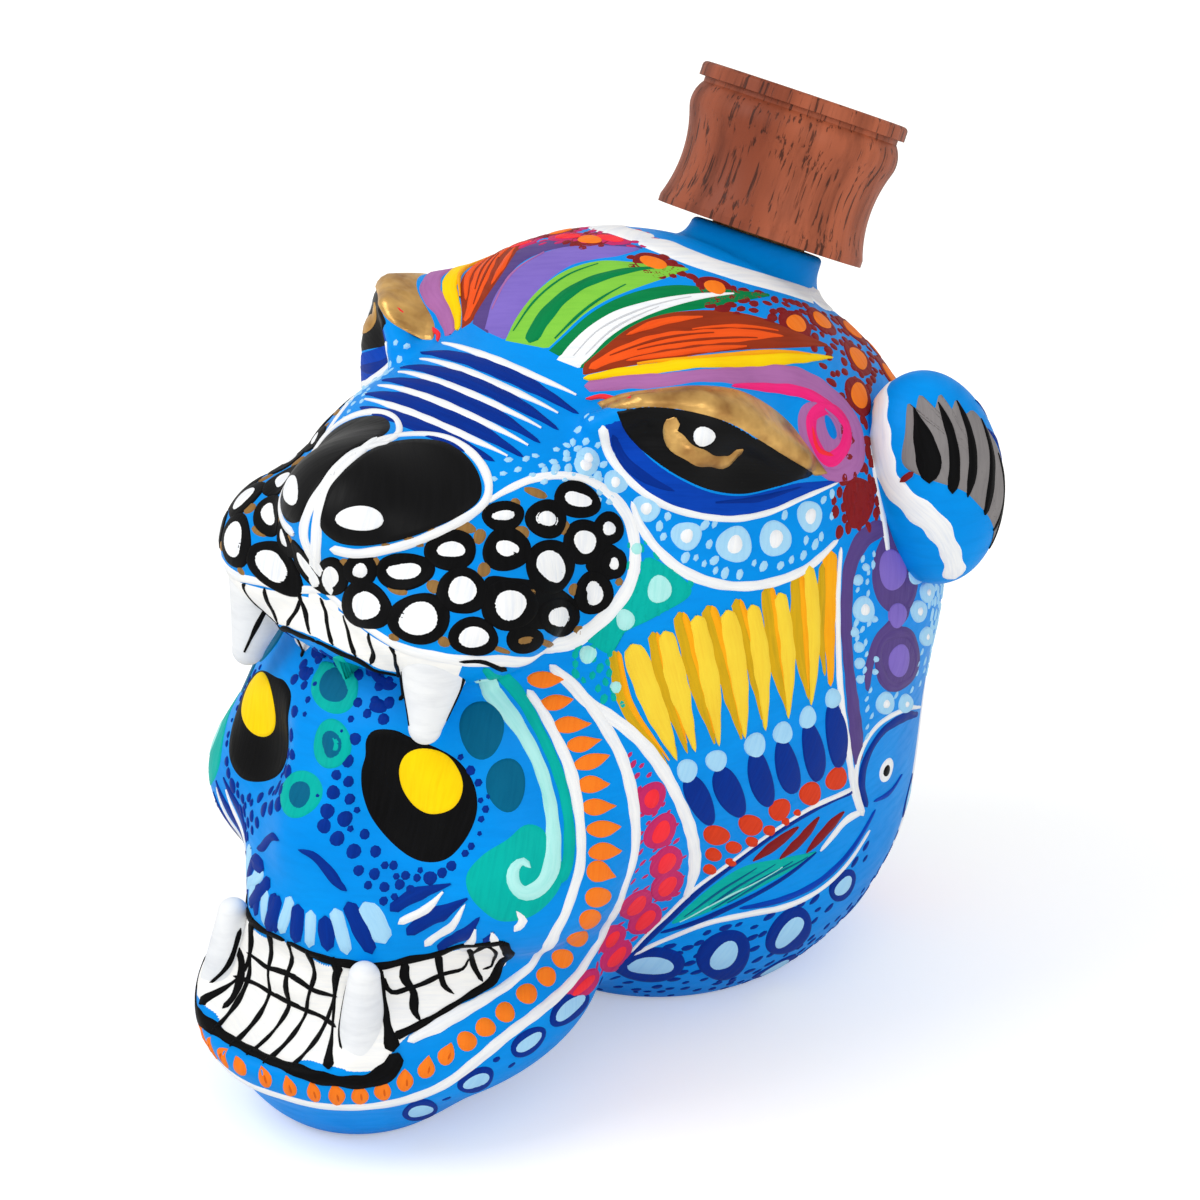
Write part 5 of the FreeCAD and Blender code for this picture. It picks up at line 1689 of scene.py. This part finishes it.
def paint_ear(paint, chart, rear):
    """A white seam, black strokes over grey on the front's upper half, and navy strokes behind."""
    seam = chart(
        (-5.6, 20.4), (-8.5, 17.9), (-9.9, 13.7), (-10.2, 7.8), (-9.6, 2.7), (-8.1, -1.5), (-4.1, -5.7),
        (0.4, -9.5), (3.5, -14.6), (5, -20)
    )
    paint.ribbon("white", seam, (3.8, 4.6, 5.2, 5.4, 5.2, 4.8, 4.4, 4.4), 2, wobble=0.1)
    paint.blob(
        "grey",
        chart(
            (-6.1, 2.3), (-5.6, 8), (-5, 13.5), (-3.8, 11.8), (-2.7, 15.1), (-0.4, 12), (1, 15.2),
            (2.8, 12), (4.1, 14.2), (5.8, 11.6), (7.4, 12.2), (10.4, 8.5), (13, 3.5), (14.8, -3), (15, -9),
            (13.4, -14.6), (12.4, -11.6), (10.7, -7.9), (8.4, -5.5), (5.5, -3), (1, -1.5), (-2.5, -0.3)
        ),
        1
    )
    strokes = [
        (((-3.9, 12.6), (-2.3, 6.9), (-1.2, 2.4), (-1.1, -1.5)), (0.2, 1.5, 3, 4.2, 4.9, 5, 4.4, 2)),
        (((0.6, 13.5), (2.8, 7.8), (3.6, 2.7), (3.2, -3.4)), (0.2, 1.3, 1.9, 2.1, 2.3, 2.7, 2.8, 1.4)),
        (((4.1, 13.9), (6.5, 7.8), (7.1, 1.9), (6.1, -4)), (0.2, 1.2, 1.7, 2, 2.3, 2.3, 1.8, 0.5)),
        (((8.8, 10.7), (10.8, 4.4), (10.8, -0.7), (9.6, -7.2)), (0.2, 1.2, 1.7, 2, 2.2, 2.4, 2.2, 1.4)),
        (((12.2, 4.4), (13.7, -2.4), (13.1, -6.6), (11.5, -10)), (0.2, 1.2, 1.7, 1.9, 1.9, 1.7, 1.3)),
        (((14.3, -1.5), (14.6, -6.6), (12.8, -11.6)), (0.2, 1, 1.5, 1.5, 1.2, 0.8)),
        (((14.6, -8.3), (14, -12), (12.8, -14.4)), (0.2, 0.9, 1.1, 0.9, 0.5)),
    ]
    for path, widths in strokes:
        paint.ribbon("black", chart(*path), widths, 3, lift=0.15)
    paint.ribbon("brick", chart((-6.4, -1.2), (-4, 0.6)), (1, 1.4, 1), 4)
    for path in (
        ((-9, 11), (-8, 4), (-6, -3)), ((-4.6, 15), (-3.2, 6), (-1.6, -3)), ((0.4, 16), (1.8, 8), (3, 0))
    ):
        paint.ribbon("navy", rear(*path), (0.3, 1.4, 2.2, 2.8, 3, 1.6), 2)
    for spot in ((-3.6, -9), (0.6, -7), (4.4, -4)):
        dab(paint, "pale_blue", rear, spot, 2.2, 2.4, 0, 2)


def paint_fang(paint, chart, height, half):
    """Black edges on a white tooth."""
    for side in (-1, 1):
        path = (
            (side * half * 1.02, 0.46 * height), (side * half * 0.96, 0),
            (side * half * 0.74, -0.46 * height)
        )
        paint.ribbon("black", chart(*path), (0.9, 1, 0.9, 0.4), 2, wobble=0.12)


def frame_side(name, side):
    """1 if that CAD node lies at positive X, else -1."""
    low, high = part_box(f"{name}_{side}")
    return 1 if low[0] + high[0] > 0 else -1


# Each fang at +X: the centres of its round ends, and their radii
FANGS = [
    ("upper_fang", (22.2, -55.6, 102.4), (22.6, -60, 88.6), 7.6, 3.4),
    ("lower_fang", (17.8, -73, 23), (17.4, -71, 39.4), 5.5, 3.3),
]


def make_pair(name, skin, material):
    """The object for the +X side and its mirror image, each in place of its CAD node."""
    for side in ("left", "right"):
        sign = frame_side(name, side)
        quads = skin.quads if sign == 1 else skin.quads[:, ::-1]
        made = make_object(f"sculpted_{name}_{side}", skin.points * [sign, 1, 1], quads.tolist(), material)
        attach(made, "bottle")
        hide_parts(f"{name}_{side}")


def make_ears(coat):
    """Both ears and their paint."""
    skin = Skin(ear_clay, EAR_CENTRE - [16, 20, 24], EAR_CENTRE + [16, 20, 24], 0.7)
    make_pair("ear", skin, coat)
    paint = Painter(skin)
    paint_ear(paint, Chart(skin, *OBLIQUE, EAR_CENTRE), Chart(skin, (-1, 0, 0), (0, 0, 1), EAR_CENTRE))
    paint.build("ear_paint", "bottle")


def make_fangs(enamel):
    """All four fangs and their black edges."""
    for name, root, tip, root_radius, tip_radius in FANGS:
        root, tip = np.array(root, float), np.array(tip, float)
        low, high = np.minimum(root, tip) - root_radius - 1, np.maximum(root, tip) + root_radius + 1
        skin = Skin(lambda p: fang_clay(p, root, tip, root_radius, tip_radius), low, high, 0.5)
        make_pair(name, skin, enamel)
        paint = Painter(skin)
        middle = (root + tip) / 2
        paint_fang(
            paint, Chart(skin, *OBLIQUE, middle), np.linalg.norm(tip - root), (root_radius + tip_radius) / 2
        )
        paint.build(f"{name}_paint", "bottle")


def paint_scroll_on_cheek(paint, angled):
    """A mint scroll with a teal edge that runs down the skull's cheek and curls up in a teal patch."""
    patch = (
        (-9.6, -36), (-6.4, -33.4), (-3.4, -34), (-1.6, -37), (0.6, -41), (0, -44.8), (-3, -48.6),
        (-6.4, -50.6), (-11, -51), (-14.2, -49), (-16.6, -46), (-17, -42.4), (-14, -38.8)
    )
    paint.blob("teal", angled(*patch), 1)
    paint.ribbon(
        "teal",
        angled(
            (-13.6, -5), (-10, -7), (-7, -10.6), (-4, -16), (-1.2, -22), (0.7, -28), (1.6, -34), (1.4, -40),
            (0.2, -44)
        ),
        (1, 2.6, 2.6, 2.2, 2, 2, 2.2, 2.6, 2), 2
    )
    mint = (
        (-14.4, -7.2), (-12, -10), (-9, -13.6), (-6, -18.2), (-3.7, -23), (-2.2, -28), (-1.4, -33),
        (-1.3, -38), (-1.9, -42), (-3.8, -44.8), (-6.6, -45.8), (-8.4, -44), (-8.4, -41.4), (-6.8, -40),
        (-5.4, -41.2)
    )
    paint.ribbon(
        "mint", angled(*mint), (2.6, 3.4, 3.4, 3.2, 3, 2.6, 2.4, 2.4, 2.8, 3.2, 3.6, 3.6, 3.2, 2.4, 1), 3
    )


def decorate(skin):
    """All the strokes on the bottle itself."""
    paint = Painter(skin)
    side = Chart(skin, (0, 1, 0), (0, 0, 1))
    front = Chart(skin, (1, 0, 0), (0, 0, 1))
    top = Chart(skin, (1, 0, 0), (0, 1, 0))
    rear = Chart(skin, (-1, 0, 0), (0, 0, 1))
    angled = Chart(skin, *OBLIQUE, (0, 0, 76))
    paint_side_feathers(paint, angled)
    paint_lines(paint, angled)
    paint_petals(paint, angled)
    paint_pink_field(paint, angled)
    paint_leaf(paint, angled)
    paint_underside(paint, side, angled)
    paint_scroll(paint, side, angled)
    paint_disc(paint, angled)
    paint_eye(paint, angled)
    paint_temple(paint, angled)
    paint_cheek_patch(paint, side)
    paint_forehead(paint, top)
    paint_crown(paint, angled, top)
    paint_head_back(paint, top, rear)
    paint_neck(paint, angled)
    paint_nose(paint, angled)
    paint_muzzle(paint, angled)
    paint_scroll_on_cheek(paint, angled)
    paint_skull(paint, angled)
    paint_upper_teeth(paint, angled)
    paint_lower_teeth(paint, front, angled)
    paint.build("paint", "bottle")


def make_bottle(coat):
    """The bottle's clay, and the skin to paint on."""
    skin = Skin(clay, (-66, -90, -2), (66, 90, 155))
    made = make_object("painted_bottle", skin.points, skin.quads.tolist(), coat)
    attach(made, "bottle")
    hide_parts("bottle_body")
    return skin


def finish_stopper():
    """Wood and cork on the stopper's CAD solids."""
    wood, cork = turned_wood(), stopper_cork()
    for node, material in (("stopper_head", wood), ("stopper_cork", cork)):
        for held in frame["nodes"][node].material_slots:
            held.material = material


def main():
    """The whole scene."""
    scene = bpy.context.scene
    scene.view_settings.view_transform = "Standard"
    make_camera()
    make_world()
    for name, (place, size, power) in LAMPS.items():
        make_lamp(name, place, size, power)
    make_floor()
    make_paints()
    coat = base_coat("blue_coat", (0, 150, 240), (0, 138, 230))
    decorate(make_bottle(coat))
    make_ears(coat)
    make_fangs(base_coat("white_coat", (246, 247, 247), (222, 226, 232)))
    finish_stopper()


main()
